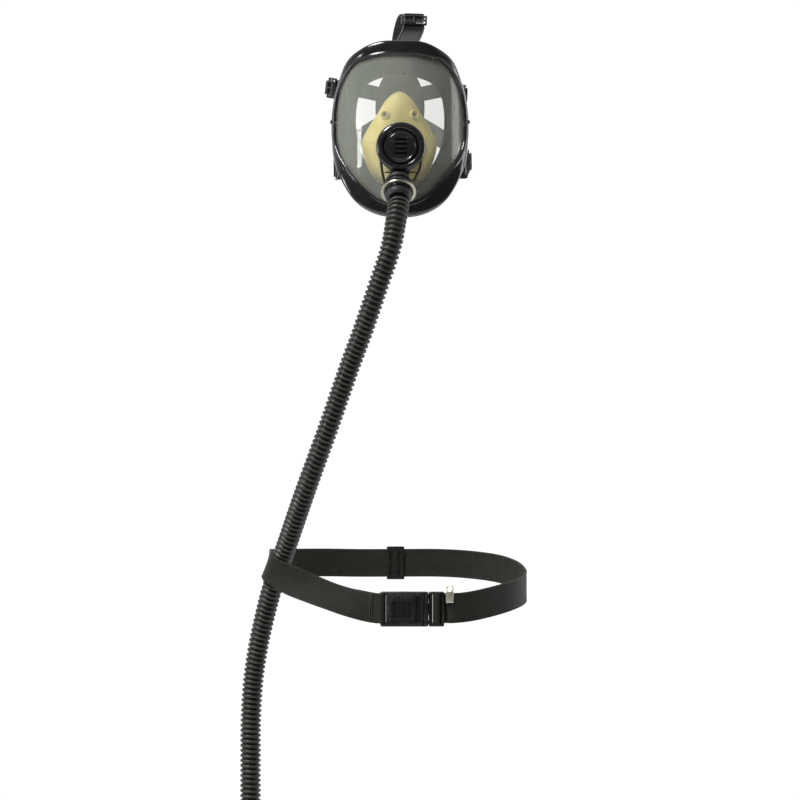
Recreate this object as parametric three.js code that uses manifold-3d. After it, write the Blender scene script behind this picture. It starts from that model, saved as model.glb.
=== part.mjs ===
// Air-fed full-face respirator as it is worn: the mask with its head harness, the corrugated breathing
// hose and the waist belt that holds the hose at the hip. Millimetres, +Z up, the wearer faces -Y.
// The origin is the middle of the wearer's head at eye level.
import * as THREE from "three";
import { mergeVertices } from "three/addons/utils/BufferGeometryUtils.js";
import Module from "manifold-3d";

const wasm = await Module();
wasm.setup();

// ---- driving dimensions ----
const FIT = 0.35; // clearance of a piece that seats on its neighbour
const RUN = 0.5; // clearance of a piece that turns or slides

const MASK_HALF_WIDTH = 84; // to the clamp's seat line, the rubber and clamp stand about 3 proud
const MASK_HEIGHT = 222;
const MASK_BOTTOM_Z = -148.5;
const STATION_SPACING = 15; // the most, so that the flats of the lens and of the clamp stay apart

const LENS_FRONT_Y = -112;
const LENS_SIDE_MARGIN = 6; // the lens radius is this much more than the half width
const LENS_CROWN = 0.0016; // backward fall of the lens above and below its foremost height
const LENS_THICKNESS = 2;
const LENS_UNDER_RIM = 4;
const LENS_SEAT_GAP = 0.9; // between the curved lens and the band above it or the rubber below
const RIM_BAND = 15; // width of the clamp band, across the lens edge
const RIM_HEIGHT = 3.3;
const RIM_DEPTH = 6; // how far the band's outer wall reaches down beside the rubber
const RIM_WALL = 1.8;
const SKIRT_WALL = 2.2;
const SCREW_R = 2.4;

const UNIT_R = 31; // the round front unit's bezel
const UNIT_X = 1;
const UNIT_Z = -64;
const UNIT_BORE_R = 20.5;
const UNIT_TUBE_R = 24.2;
const UNIT_FLANGE_Y = -115.5; // back face of the flange in front of the lens
const UNIT_FLANGE_DEPTH = 11;
const UNIT_BACK_Y = -93;
const BEZEL_DEPTH = 8;
const VALVE_R = 15;

const CUP_WALL = 2;
const CUP_VALVE_R = 7.4;

const INLET_X = -2;
const INLET_Y = -140;
const INLET_Z = -118.2;
const INLET_TILT = 50; // degrees below the horizontal
const HOSE_OD = 27;
const HOSE_WALL = 2.2;
const NUT_R = 22;
const NUT_LENGTH = 8;
const CUFF_WALL = 3;
const CUFF_LENGTH = 10;
const CONNECTOR_LENGTH = 34;
const COLLAR_LENGTH = 15;

const WEBBING_WIDTH = 38;
const WEBBING_THICKNESS = 2.2;
const WAIST_HALF_WIDTH = 165;
const WAIST_FRONT_Y = -120;
const WAIST_BACK_Y = 112;
const BUCKLE_LEFT_X = -25;
const SOCKET_LENGTH = 61;
const SOCKET_THICKNESS = 12;
const SOCKET_WALL = 2;
const BUCKLE_MARGIN = 3; // the buckle is this much taller than the webbing, above and below
const BUCKLE_Z = -649;
const PLUG_LENGTH = 20;

const STRAP_THICKNESS = 2;
const TAB_THICKNESS = 3;

const group = new THREE.Group();
const V = (x, y, z) => new THREE.Vector3(x, y, z);
const FORWARD = V(0, -1, 0);
const rad = (degrees) => THREE.MathUtils.degToRad(degrees);

// ---- finishes ----
const finish = (color, roughness, metalness = 0, extra = {}) =>
  new THREE.MeshStandardMaterial({ color, roughness, metalness, ...extra });
const rubber = () => finish(0x16171a, 0.45);
const glossBlack = () => finish(0x101112, 0.18);
const blackPlastic = () => finish(0x1b1c1e, 0.5);
const clearLens = () => finish(0xc8d2c8, 0.05, 0, { transparent: true, opacity: 0.35 });
const cupYellow = () => finish(0xd9cc82, 0.5);
const steel = () => finish(0xb8b6a8, 0.25, 0.9);
const webbing = () => finish(0x24251f, 0.85);
const hoseBlack = () => finish(0x1e1f21, 0.55);

// ---- general solids ----
// A closed solid from like polygons: rings join one to the next, and either close on themselves or are capped.
function loft(rings, closed) {
  const size = rings[0].length;
  const position = rings.flat().flatMap((p) => [p.x, p.y, p.z]);
  const index = [];
  const steps = closed ? rings.length : rings.length - 1;
  for (let i = 0; i < steps; i += 1) {
    const a = i * size;
    const b = ((i + 1) % rings.length) * size;
    for (let j = 0; j < size; j += 1) {
      const k = (j + 1) % size;
      index.push(a + j, b + j, b + k, a + j, b + k, a + k);
    }
  }
  if (!closed) {
    for (const [ring, base] of [[rings[0], 0], [rings.at(-1), (rings.length - 1) * size]]) {
      for (const [p, q, r] of capTriangles(ring)) {
        index.push(base ? base + r : p, base ? base + q : q, base ? base + p : r);
      }
    }
  }
  const geometry = new THREE.BufferGeometry();
  geometry.setAttribute("position", new THREE.Float32BufferAttribute(position, 3));
  geometry.setIndex(index);
  return faceOut(geometry);
}

// Triangles over a nearly flat polygon, wound the way that the polygon runs.
function capTriangles(ring) {
  const normal = ring.reduce((sum, p, i) => sum.add(p.clone().cross(ring[(i + 1) % ring.length])), V(0, 0, 0));
  const u = ring[1].clone().sub(ring[0]).normalize();
  const w = normal.normalize().clone().cross(u);
  const flat = ring.map((p) => new THREE.Vector2(p.dot(u), p.dot(w)));
  return THREE.ShapeUtils.triangulateShape(flat, []);
}

function faceOut(geometry) {
  const p = geometry.attributes.position;
  const index = geometry.index.array;
  const [a, b, c] = [V(0, 0, 0), V(0, 0, 0), V(0, 0, 0)];
  let volume = 0;
  for (let i = 0; i < index.length; i += 3) {
    a.fromBufferAttribute(p, index[i]);
    b.fromBufferAttribute(p, index[i + 1]);
    c.fromBufferAttribute(p, index[i + 2]);
    volume += a.dot(b.cross(c));
  }
  if (volume < 0) {
    geometry.setIndex(Array.from(index).reverse());
  }
  return geometry;
}

function toSolid(geometry) {
  const bare = geometry.clone();
  for (const name of Object.keys(bare.attributes)) {
    if (name !== "position") {
      bare.deleteAttribute(name);
    }
  }
  const merged = mergeVertices(bare, 1e-4);
  return new wasm.Manifold(new wasm.Mesh({
    numProp: 3,
    vertProperties: new Float32Array(merged.attributes.position.array),
    triVerts: new Uint32Array(merged.index.array),
  }));
}

function toGeometry(solid) {
  const mesh = solid.getMesh();
  const geometry = new THREE.BufferGeometry();
  geometry.setAttribute("position", new THREE.BufferAttribute(Float32Array.from(mesh.vertProperties), 3));
  geometry.setIndex(new THREE.BufferAttribute(Uint32Array.from(mesh.triVerts), 1));
  return geometry;
}

const combine = (base, ...more) =>
  toGeometry(more.reduce((sum, g) => sum.add(toSolid(g)), toSolid(base)));
const cut = (base, ...more) =>
  toGeometry(more.reduce((left, g) => left.subtract(toSolid(g)), toSolid(base)));

function piece(name, geometry, material, parent = group) {
  const mesh = new THREE.Mesh(geometry, material);
  mesh.name = name;
  parent.add(mesh);
  return mesh;
}

// A turned solid about an axis, from [radius, distance along the axis] pairs.
function turned(profile, origin, axis, segments = 28) {
  const geometry = new THREE.LatheGeometry(profile.map(([r, d]) => new THREE.Vector2(r, d)), segments);
  geometry.applyQuaternion(new THREE.Quaternion().setFromUnitVectors(V(0, 1, 0), axis));
  geometry.translate(origin.x, origin.y, origin.z);
  return geometry;
}

const ringProfile = (inner, outer, from, to) => [
  [inner, from], [outer, from], [outer, to], [inner, to], [inner, from],
];
const discProfile = (outer, from, to) => [[0, from], [outer, from], [outer, to], [0, to]];

function box(x0, x1, y0, y1, z0, z1) {
  const geometry = new THREE.BoxGeometry(x1 - x0, y1 - y0, z1 - z0);
  geometry.translate((x0 + x1) / 2, (y0 + y1) / 2, (z0 + z1) / 2);
  return geometry;
}

// A flat strap along a route: each stop has a middle point and the direction across the strap.
function ribbon(stops, width, thickness) {
  const rings = stops.map(({ at, across }, i) => {
    const before = stops[Math.max(i - 1, 0)].at;
    const after = stops[Math.min(i + 1, stops.length - 1)].at;
    const along = after.clone().sub(before).normalize();
    const wide = across.clone().addScaledVector(along, -across.dot(along)).normalize();
    const up = along.clone().cross(wide);
    const corner = (w, t) => at.clone().addScaledVector(wide, w * width / 2).addScaledVector(up, t * thickness / 2);
    return [corner(-1, -1), corner(1, -1), corner(1, 1), corner(-1, 1)];
  });
  return loft(rings, false);
}

// Stops spaced along a smooth route through [x, y, z, across] rows.
function routeStops(rows, count) {
  const route = new THREE.CatmullRomCurve3(rows.map(([at]) => at));
  const lean = new THREE.CatmullRomCurve3(rows.map(([, across]) => across));
  return Array.from({ length: count + 1 }, (_, i) => ({
    at: route.getPoint(i / count),
    across: lean.getPoint(i / count),
  }));
}

// ---- the mask's outline ----
// Half of each edge line from the top to the chin, as shares of the half width and of the height:
// the clamp's outer edge, the visible lens edge, and the sealing lip with its depth in millimetres.
const EDGE = [
  { rim: [0, 1], lens: [0, 0.921], lip: [0, 0.809, -86] },
  { rim: [0.393, 0.99], lens: [0.369, 0.913], lip: [0.29, 0.8, -84] },
  { rim: [0.75, 0.908], lens: [0.655, 0.877], lip: [0.53, 0.76, -76] },
  { rim: [0.885, 0.79], lens: [0.857, 0.764], lip: [0.645, 0.69, -68] },
  { rim: [0.964, 0.68], lens: [0.935, 0.66], lip: [0.68, 0.615, -63] },
  { rim: [1, 0.56], lens: [0.956, 0.556], lip: [0.685, 0.543, -60] },
  { rim: [0.99, 0.444], lens: [0.952, 0.457], lip: [0.667, 0.462, -58] },
  { rim: [0.97, 0.345], lens: [0.899, 0.376], lip: [0.63, 0.38, -57] },
  { rim: [0.885, 0.22], lens: [0.774, 0.282], lip: [0.536, 0.282, -58] },
  { rim: [0.68, 0.095], lens: [0.56, 0.178], lip: [0.393, 0.19, -61] },
  { rim: [0.385, 0.024], lens: [0.298, 0.097], lip: [0.2, 0.133, -64] },
  { rim: [0, 0], lens: [0, 0.072], lip: [0, 0.115, -65] },
];
const MASK_MIDDLE_Z = MASK_BOTTOM_Z + MASK_HEIGHT / 2;
const LENS_RADIUS = MASK_HALF_WIDTH + LENS_SIDE_MARGIN;
const LENS_FOREMOST_Z = MASK_BOTTOM_Z + 0.534 * MASK_HEIGHT;

const lensY = (x, z) =>
  LENS_FRONT_Y + LENS_CROWN * (z - LENS_FOREMOST_Z) ** 2
  + LENS_RADIUS - Math.sqrt(LENS_RADIUS ** 2 - x ** 2);

function closedEdge(name) {
  const half = EDGE.map((row) => {
    const [x, z, y = 0] = row[name];
    return V(x * MASK_HALF_WIDTH, y, MASK_BOTTOM_Z + z * MASK_HEIGHT);
  });
  const mirrored = half.slice(1, -1).reverse().map((p) => V(-p.x, p.y, p.z));
  return new THREE.CatmullRomCurve3([...half, ...mirrored], true);
}

const edges = { rim: closedEdge("rim"), lens: closedEdge("lens"), lip: closedEdge("lip") };
const OUTLINE_ROWS = 2 * (EDGE.length - 1);
const STATIONS_PER_ROW = Math.ceil(edges.rim.getLength() / OUTLINE_ROWS / STATION_SPACING);
const STATIONS = OUTLINE_ROWS * STATIONS_PER_ROW;

// One station of the outline: the lens edge, the band's outer edge and the directions there.
function station(t) {
  const lens = edges.lens.getPoint(t);
  const rim = edges.rim.getPoint(t);
  lens.y = lensY(lens.x, lens.z);
  const facing = Math.hypot(rim.x - lens.x, rim.z - lens.z);
  rim.y = lens.y + Math.sqrt(Math.max(RIM_BAND ** 2 - facing ** 2, 9));
  return { t, lens, rim, lip: edges.lip.getPoint(t) };
}

function framed(s, before, after) {
  const tangent = after.rim.clone().sub(before.rim).normalize();
  const across = s.rim.clone().sub(s.lens);
  const band = across.length();
  across.normalize();
  const normal = across.clone().cross(tangent).normalize();
  if (normal.dot(s.lens) - normal.z * MASK_MIDDLE_Z < 0) {
    normal.negate();
  }
  const place = (a, n) => s.lens.clone().addScaledVector(across, a).addScaledVector(normal, n);
  return { ...s, tangent, across, normal, band, place };
}

const frameAt = (t) => framed(station(t), station(t - 0.004), station(t + 0.004));
const wrap = (t) => ((t % 1) + 1) % 1;
const around = Array.from({ length: STATIONS }, (_, i) => frameAt(i / STATIONS));
const onOutline = (row) => frameAt(wrap(row / OUTLINE_ROWS));

// ---- mask ----
const LENS_ROWS = [0, 0.14, 0.3, 0.5, 0.72, 0.9, 1];

function makeLens() {
  const hole = UNIT_TUBE_R + FIT;
  const rings = around.map((f) => {
    const angle = Math.atan2(f.lens.z - UNIT_Z, f.lens.x - UNIT_X);
    const inner = V(UNIT_X + hole * Math.cos(angle), 0, UNIT_Z + hole * Math.sin(angle));
    const outer = LENS_ROWS.map((v) => {
      const p = inner.clone().lerp(f.lens, v);
      p.y = lensY(p.x, p.z);
      return p;
    });
    const normals = outer.map((p) => {
      const slope = p.x / Math.sqrt(LENS_RADIUS ** 2 - p.x ** 2);
      return V(-slope, 1, -2 * LENS_CROWN * (p.z - LENS_FOREMOST_Z)).normalize().negate();
    });
    normals[normals.length - 1] = f.normal;
    outer.push(f.place(LENS_UNDER_RIM, 0));
    normals.push(f.normal);
    const front = outer.map((p, i) => p.clone().addScaledVector(normals[i], LENS_THICKNESS));
    return [...front, ...outer.reverse()];
  });
  return loft(rings, true);
}

function rimSection(f) {
  const seat = LENS_THICKNESS + LENS_SEAT_GAP;
  const top = seat + RIM_HEIGHT;
  const w = f.band;
  return [
    f.place(0.3, seat), f.place(0.6, top - 0.9), f.place(0.45 * w, top), f.place(w - 1.2, top - 0.6),
    f.place(w + 0.8, top - 2.4), f.place(w + 0.8, seat - RIM_DEPTH),
    f.place(w + 0.8 - RIM_WALL, seat - RIM_DEPTH), f.place(w + 0.8 - RIM_WALL, seat),
  ];
}

const SPLIT_STATION = 5 * STATIONS_PER_ROW; // from the top to the split between the two half bands
const SPLIT = SPLIT_STATION / STATIONS;
const SPLIT_GAP = 0.0012; // as a share of the outline

// The clamp is two half bands that meet at the temples, where a screw on each side pulls them together.
// Between its ends a band has the lens's own stations, so that the gap to the lens is the same all along.
function makeRimHalf(first, last) {
  const between = Array.from({ length: last - first - 1 }, (_, i) => (first + 1 + i) / STATIONS);
  const shares = [first / STATIONS + SPLIT_GAP, ...between, last / STATIONS - SPLIT_GAP];
  return loft(shares.map((t) => rimSection(frameAt(t))), false);
}

function screwPlace(side) {
  const f = frameAt(side > 0 ? SPLIT : 1 - SPLIT);
  return { at: f.place(0.45 * f.band, LENS_THICKNESS + LENS_SEAT_GAP + RIM_HEIGHT + FIT), axis: f.normal.clone() };
}

function makeScrew(side) {
  const { at, axis } = screwPlace(side);
  return turned([[0, 0], [SCREW_R, 0], [SCREW_R, 1.4], [SCREW_R - 0.7, 2], [0, 2]], at, axis, 20);
}

// The rubber face piece: clamped behind the lens edge, out round the clamp and back to a soft sealing lip.
function skirtSection(f) {
  const w = f.band;
  const back = (d) => V(0, d, 0);
  const low = -LENS_SEAT_GAP - SKIRT_WALL / 2;
  const keys = [
    f.place(1.5, low),
    f.place(w - 5, low),
    f.place(w - 3.2, low - 3.2),
    f.rim.clone().addScaledVector(f.normal, -7.5).add(back(8)),
    f.rim.clone().addScaledVector(f.normal, -1.5).add(back(20)),
    f.rim.clone().lerp(f.lip, 0.35).add(back(24)),
    f.lip.clone(),
  ];
  const path = new THREE.CatmullRomCurve3(keys, false, "centripetal");
  const left = [];
  const right = [];
  const count = 11;
  for (let i = 0; i <= count; i += 1) {
    const t = i / count;
    const p = path.getPoint(t);
    const side = path.getTangent(t).cross(f.tangent).normalize();
    left.push(p.clone().addScaledVector(side, SKIRT_WALL / 2));
    right.push(p.clone().addScaledVector(side, -SKIRT_WALL / 2));
  }
  return [...left, ...right.reverse()];
}

// ---- head harness ----
// Each strap: where its tab leaves the outline, the tab's reach, the strap's direction and outward side at
// the buckle, its width, its way over the head and its end under the crown pad.
const PAD_BACK_Y = 110;
const PAD_HALF_WIDTH = 34;
const PAD_TOP_Z = 56;
const PAD_BOTTOM_Z = -30;
const PAD_THICKNESS = 3;
const padY = (x, z) => PAD_BACK_Y - 0.0062 * x ** 2 - 0.0042 * (z - 18) ** 2;
const STRAP_UNDER_PAD = 1.4; // gap under the curved pad to a strap that is flat across
const underPad = (x, z) => V(x, padY(x, z) - STRAP_UNDER_PAD - STRAP_THICKNESS / 2, z);
const padNormal = (at) => V(0.0124 * at.x, 1, 0.0084 * (at.z - 18)).normalize();
const STRAPS = [
  {
    name: "top", index: 0.25, reach: V(10, 40, 37), along: V(0.04, 0.56, 0.83), out: V(0, -0.83, 0.56),
    width: 27, route: [V(13, -6, 122.5), V(8, 34, 120), V(3, 68, 104), V(0, 90, 80)], pad: [[0, 58], [0, 44]],
  },
  {
    name: "temple_left", index: 3.7, reach: V(6, 17, 6), along: V(-0.1, 1, 0.12), out: V(1, 0.1, 0),
    width: 20, route: [V(84, 22, 26), V(76, 54, 32), V(57, 82, 35)], pad: [[37, 33], [20, 30]],
  },
  {
    name: "temple_right", index: 18.4, reach: V(-12, 12, 12), along: V(-0.62, 0.76, 0.2), out: V(-0.76, -0.62, 0),
    width: 20, route: [V(-88, 24, 28), V(-78, 56, 33), V(-57, 82, 35)], pad: [[-37, 33], [-20, 30]],
  },
  {
    name: "cheek_left", index: 6.9, reach: V(8.6, 20.5, -2), along: V(0.1, 0.97, 0.2), out: V(1, -0.1, 0),
    width: 24, route: [V(86, 30, -58), V(72, 58, -44), V(48, 82, -26)], pad: [[28, -12], [15, -3]],
  },
  {
    name: "cheek_right", index: 14.7, reach: V(-4, 22, 0), along: V(0.05, 0.97, 0.2), out: V(-1, 0.05, 0),
    width: 24, route: [V(-84, 30, -64), V(-72, 58, -47), V(-48, 82, -26)], pad: [[-28, -12], [-15, -3]],
  },
];
const BUCKLE_LENGTH = 16;
const BUCKLE_PLATE = 3;
const BUCKLE_BAR = 2.6;
const BUCKLE_SIDE = 3.2;

// The outer bend of the rubber, where a tab grows out of it.
const bendPoint = (f) => f.rim.clone().addScaledVector(f.normal, -1.5).add(V(0, 19, 0));

function harnessFrame(strap) {
  const f = onOutline(strap.index);
  const along = strap.along.clone().normalize();
  const out = strap.out.clone().addScaledVector(along, -strap.out.dot(along)).normalize();
  const across = along.clone().cross(out).normalize();
  const root = bendPoint(f);
  return { along, out, across, root, centre: root.clone().add(strap.reach) };
}

// Local x runs across the strap, y along it and z outward.
function placeOn(geometry, { across, along, out, centre }) {
  geometry.applyMatrix4(new THREE.Matrix4().makeBasis(across, along, out).setPosition(centre));
  return geometry;
}

const UNDER_PLATE = BUCKLE_PLATE / 2 + FIT;

function makeTab(strap) {
  const h = harnessFrame(strap);
  const end = h.centre.clone().addScaledVector(h.out, -UNDER_PLATE - TAB_THICKNESS / 2)
    .addScaledVector(h.along, -BUCKLE_LENGTH / 2 + BUCKLE_BAR + 1.2);
  const near = end.clone().addScaledVector(h.along, -7);
  const inside = h.root.clone().addScaledVector(h.out, -1.5);
  const rows = [inside, near, end].map((at) => [at, h.across]);
  return ribbon(routeStops(rows, 8), strap.width, TAB_THICKNESS);
}

function makeBuckleFrame(strap) {
  const wide = strap.width / 2 + BUCKLE_SIDE + RUN;
  const long = BUCKLE_LENGTH / 2;
  const shape = new THREE.Shape([[-wide, -long], [wide, -long], [wide, long], [-wide, long]]
    .map(([x, y]) => new THREE.Vector2(x, y)));
  const inner = strap.width / 2 + RUN;
  const middle = BUCKLE_BAR / 2;
  for (const side of [-1, 1]) {
    const y0 = side * middle;
    const y1 = side * (long - BUCKLE_BAR);
    shape.holes.push(new THREE.Path([[-inner, y0], [inner, y0], [inner, y1], [-inner, y1]]
      .map(([x, y]) => new THREE.Vector2(x, y))));
  }
  const geometry = new THREE.ExtrudeGeometry(shape, {
    depth: BUCKLE_PLATE - 0.8, bevelThickness: 0.4, bevelSize: 0.4, bevelOffset: -0.4, bevelSegments: 1,
  });
  geometry.translate(0, 0, -BUCKLE_PLATE / 2 + 0.4);
  return placeOn(geometry, harnessFrame(strap));
}

// The cam lever lies on the frame and turns up about its front edge to free the strap.
function makeLever(strap) {
  const half = strap.width / 2 - 1;
  const z0 = BUCKLE_PLATE / 2 + FIT;
  const long = BUCKLE_LENGTH / 2;
  const side = new THREE.Shape();
  side.moveTo(-long + 2.2, z0);
  side.lineTo(long - 2, z0);
  side.lineTo(long + 0.5, z0 + 1.6);
  side.lineTo(long, z0 + 2.6);
  side.lineTo(-long + 4.5, z0 + 3.4);
  side.lineTo(-long + 2.2, z0 + 2.6);
  side.closePath();
  const geometry = new THREE.ExtrudeGeometry(side, { depth: 2 * half, bevelEnabled: false });
  geometry.applyMatrix4(new THREE.Matrix4().makeBasis(V(0, 1, 0), V(0, 0, 1), V(1, 0, 0)));
  geometry.translate(-half, 0, 0);
  return placeOn(geometry, harnessFrame(strap));
}

function makeStrap(strap) {
  const h = harnessFrame(strap);
  const start = h.centre.clone().addScaledVector(h.out, -UNDER_PLATE - STRAP_THICKNESS / 2)
    .addScaledVector(h.along, -BUCKLE_BAR / 2 + 1);
  const clear = [BUCKLE_LENGTH / 4, BUCKLE_LENGTH / 2 + 3].map((d) =>
    start.clone().addScaledVector(h.along, d).addScaledVector(h.out, -0.08 * d));
  const ways = [start, ...clear, ...strap.route, ...strap.pad.map(([x, z]) => underPad(x, z))];
  const last = ways.length - 1;
  const rows = ways.map((at, i) => [at, strapAcross(strap, h, i / last, at)]);
  return ribbon(routeStops(rows, 18), strap.width, STRAP_THICKNESS);
}

// Across the strap, turning from the buckle's own direction to lie flat on the head.
function strapAcross(strap, h, t, at) {
  const outward = at.y > 90 ? padNormal(at) : at.clone().sub(V(0, 10, 5)).normalize();
  const flat = strap.name === "top" ? V(1, 0, 0) : V(0, 0, 1);
  flat.addScaledVector(outward, -outward.dot(flat));
  const own = h.across.clone().multiplyScalar(Math.sign(h.across.dot(flat)) || 1);
  return own.lerp(flat.normalize(), THREE.MathUtils.clamp(2.5 * t - 0.75, 0, 1)).normalize();
}

// The crown pad is curved to the back of the head, outside the ends of the straps.
function makePad() {
  const rows = 9;
  const columns = 8;
  const middle = (PAD_TOP_Z + PAD_BOTTOM_Z) / 2;
  const reach = (PAD_TOP_Z - PAD_BOTTOM_Z) / 2;
  const rings = Array.from({ length: rows }, (_, i) => {
    const v = -1 + 2 * i / (rows - 1);
    const z = middle + v * reach;
    const half = PAD_HALF_WIDTH * Math.sqrt(1 - 0.55 * v ** 2);
    const face = (lift) => Array.from({ length: columns + 1 }, (_, j) => {
      const x = half * (-1 + 2 * j / columns);
      return V(x, padY(x, z) + lift, z);
    });
    return [...face(PAD_THICKNESS), ...face(0).reverse()];
  });
  return loft(rings, false);
}

// ---- front unit ----
const unitAt = (y) => V(UNIT_X, y, UNIT_Z);
const inletAxis = V(0, -Math.cos(rad(INLET_TILT)), -Math.sin(rad(INLET_TILT)));
const inletAt = (s) => V(INLET_X, INLET_Y, INLET_Z).addScaledVector(inletAxis, s);
const HOSE_R = HOSE_OD / 2;
const HOSE_BORE_R = HOSE_R - HOSE_WALL;
const PORT_R = HOSE_R + 1.5;
const PORT_WALL = 3;
const SEAT_Y = UNIT_FLANGE_Y - 3;
const PORT_SEAT_S = -6;
const PORT_BACK_S = -17;

// The body clamps through the lens; its neck runs down to the threaded port that the hose screws on to.
function makeUnitBody() {
  const neckZ = INLET_Z + 8;
  const face = new THREE.Shape();
  const neckHalf = 13;
  face.absarc(0, 0, UNIT_R - 0.6, rad(-52), rad(232), false);
  face.lineTo(-neckHalf + INLET_X - UNIT_X, neckZ - UNIT_Z);
  face.lineTo(neckHalf + INLET_X - UNIT_X, neckZ - UNIT_Z);
  face.closePath();
  const plate = new THREE.ExtrudeGeometry(face, { depth: UNIT_FLANGE_DEPTH, bevelEnabled: false, curveSegments: 26 });
  plate.rotateX(Math.PI / 2);
  plate.translate(UNIT_X, UNIT_FLANGE_Y, UNIT_Z);
  const tube = turned(discProfile(UNIT_TUBE_R, 0, UNIT_BACK_Y - UNIT_FLANGE_Y + 2), unitAt(UNIT_BACK_Y), FORWARD);
  const port = turned(discProfile(PORT_R, PORT_BACK_S, 0), inletAt(0), inletAxis);
  const front = turned(discProfile(UNIT_BORE_R, 0, 40), unitAt(SEAT_Y - 2), FORWARD);
  const rear = turned(discProfile(UNIT_BORE_R, -1, UNIT_BACK_Y - SEAT_Y), unitAt(UNIT_BACK_Y), FORWARD);
  const seatHole = turned(discProfile(VALVE_R - 3, 0, 20), unitAt(SEAT_Y + 8), FORWARD);
  const bore = turned(discProfile(PORT_R - PORT_WALL, PORT_SEAT_S, 10), inletAt(0), inletAxis);
  const behind = turned(discProfile(PORT_R - PORT_WALL, PORT_BACK_S + PORT_WALL, PORT_SEAT_S - 2), inletAt(0), inletAxis);
  const seat = turned(discProfile(PORT_R - PORT_WALL - 2.5, -14, 5), inletAt(0), inletAxis);
  const passage = box(INLET_X - 6, INLET_X + 6, UNIT_FLANGE_Y - 9, UNIT_FLANGE_Y - 3.5, neckZ, UNIT_Z - 15);
  return cut(combine(plate, tube, port), front, rear, seatHole, bore, behind, seat, passage);
}

function makeBezel() {
  const back = UNIT_FLANGE_DEPTH + FIT;
  const inner = UNIT_BORE_R + 1.2;
  const bezelProfile = [
    [inner, back], [UNIT_R, back], [UNIT_R + 0.4, back + 3], [UNIT_R - 1.5, back + BEZEL_DEPTH - 1.5],
    [UNIT_R - 4, back + BEZEL_DEPTH], [inner + 1, back + BEZEL_DEPTH - 1], [inner, back + BEZEL_DEPTH - 2.5],
    [inner, back],
  ];
  return turned(bezelProfile, unitAt(UNIT_FLANGE_Y), FORWARD, 40);
}

// The cover drops into the bezel and turns a sixth of a turn to lock; side slots let the breath out.
function makeCover() {
  const outer = UNIT_BORE_R + 1.2 - RUN;
  const back = UNIT_FLANGE_DEPTH + RUN + 1;
  const shell = turned([
    [outer - 2.5, back], [outer, back], [outer, back + 6], [outer - 2, back + 8.5], [0, back + 9.5],
    [0, back + 7.3], [outer - 3.5, back + 6.3], [outer - 2.5, back + 5], [outer - 2.5, back],
  ], unitAt(UNIT_FLANGE_Y), FORWARD, 40);
  const y1 = UNIT_FLANGE_Y - back - 7;
  const slots = [-9, -3, 3, 9].map((dz) =>
    box(UNIT_X - 8, UNIT_X + 8, y1 - 6, y1 + 6, UNIT_Z + dz - 1.1, UNIT_Z + dz + 1.1));
  return cut(shell, ...slots);
}

function makeRetainer() {
  return turned(ringProfile(UNIT_TUBE_R + FIT, UNIT_TUBE_R + 5, 0, 4), unitAt(-99.8), FORWARD);
}

const exhaleDisc = () => turned(discProfile(VALVE_R, 2 + FIT, 3.2 + FIT), unitAt(SEAT_Y), FORWARD);
const inletDisc = () =>
  turned(discProfile(PORT_R - PORT_WALL - RUN, -1.2 - FIT, -FIT), inletAt(PORT_SEAT_S - 2), inletAxis, 24);

// ---- nose cup ----
// The cup's edge on the face, from the nose down the wearer's left side to the chin.
const CUP_EDGE = [
  V(0, -91, 10), V(14, -88, 2), V(27, -80, -17), V(40, -71, -36), V(47, -67, -52), V(44, -67, -72),
  V(34, -69, -94), V(20, -71, -107), V(0, -72, -112),
];
const CUP_FRONT_Y = UNIT_BACK_Y - 2;
const cupLine = new THREE.CatmullRomCurve3([
  ...CUP_EDGE, ...CUP_EDGE.slice(1, -1).reverse().map((p) => V(-p.x, p.y, p.z)),
], true);

function cupPoint(t, v) {
  const edge = cupLine.getPoint(t).add(V(UNIT_X - 2, 0, 0));
  const angle = Math.atan2(edge.z - UNIT_Z, edge.x - UNIT_X);
  const collar = UNIT_TUBE_R + FIT;
  const front = V(UNIT_X + collar * Math.cos(angle), CUP_FRONT_Y - 1, UNIT_Z + collar * Math.sin(angle));
  const mid = front.clone().lerp(edge, 0.78);
  mid.y = CUP_FRONT_Y - 2;
  return new THREE.QuadraticBezierCurve3(front, mid, edge).getPoint(v);
}

function cupNormal(t, v) {
  const down = cupPoint(t, Math.min(v + 0.02, 1)).sub(cupPoint(t, Math.max(v - 0.02, 0)));
  const side = cupPoint(wrap(t + 0.01), v).sub(cupPoint(wrap(t - 0.01), v));
  const normal = side.cross(down).normalize();
  return normal.y > 0 ? normal.negate() : normal;
}

const CUP_VALVES = { left: { t: 0.102, v: 0.573 }, right: { t: 0.898, v: 0.573 } };

function cupValvePlace(side) {
  const { t, v } = CUP_VALVES[side];
  const axis = cupNormal(t, v);
  return { axis, at: cupPoint(t, v) };
}

function makeNoseCup() {
  const rows = [0, 0.2, 0.42, 0.64, 0.84, 1];
  const rings = Array.from({ length: 40 }, (_, i) => {
    const t = i / 40;
    const outer = rows.map((v) => cupPoint(t, v));
    const inner = rows.map((v, k) => outer[k].clone().addScaledVector(cupNormal(t, v), -CUP_WALL));
    return [...outer, ...inner.reverse()];
  });
  const holes = ["left", "right"].map((side) => {
    const { at, axis } = cupValvePlace(side);
    return turned(discProfile(CUP_VALVE_R - 1.6, -8, 6), at, axis, 24);
  });
  return cut(loft(rings, true), ...holes);
}

function makeCupSeat(side) {
  const { at, axis } = cupValvePlace(side);
  const barrel = CUP_VALVE_R - 1.6 - FIT;
  const bore = barrel - 1.6;
  return turned([
    [bore, -CUP_WALL - 1.5], [barrel, -CUP_WALL - 1.5], [barrel, 1.1], [CUP_VALVE_R, 1.1],
    [CUP_VALVE_R - 0.4, 2.6], [bore + 0.6, 2.6], [bore, 2], [bore, -CUP_WALL - 1.5],
  ], at, axis, 24);
}

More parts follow.
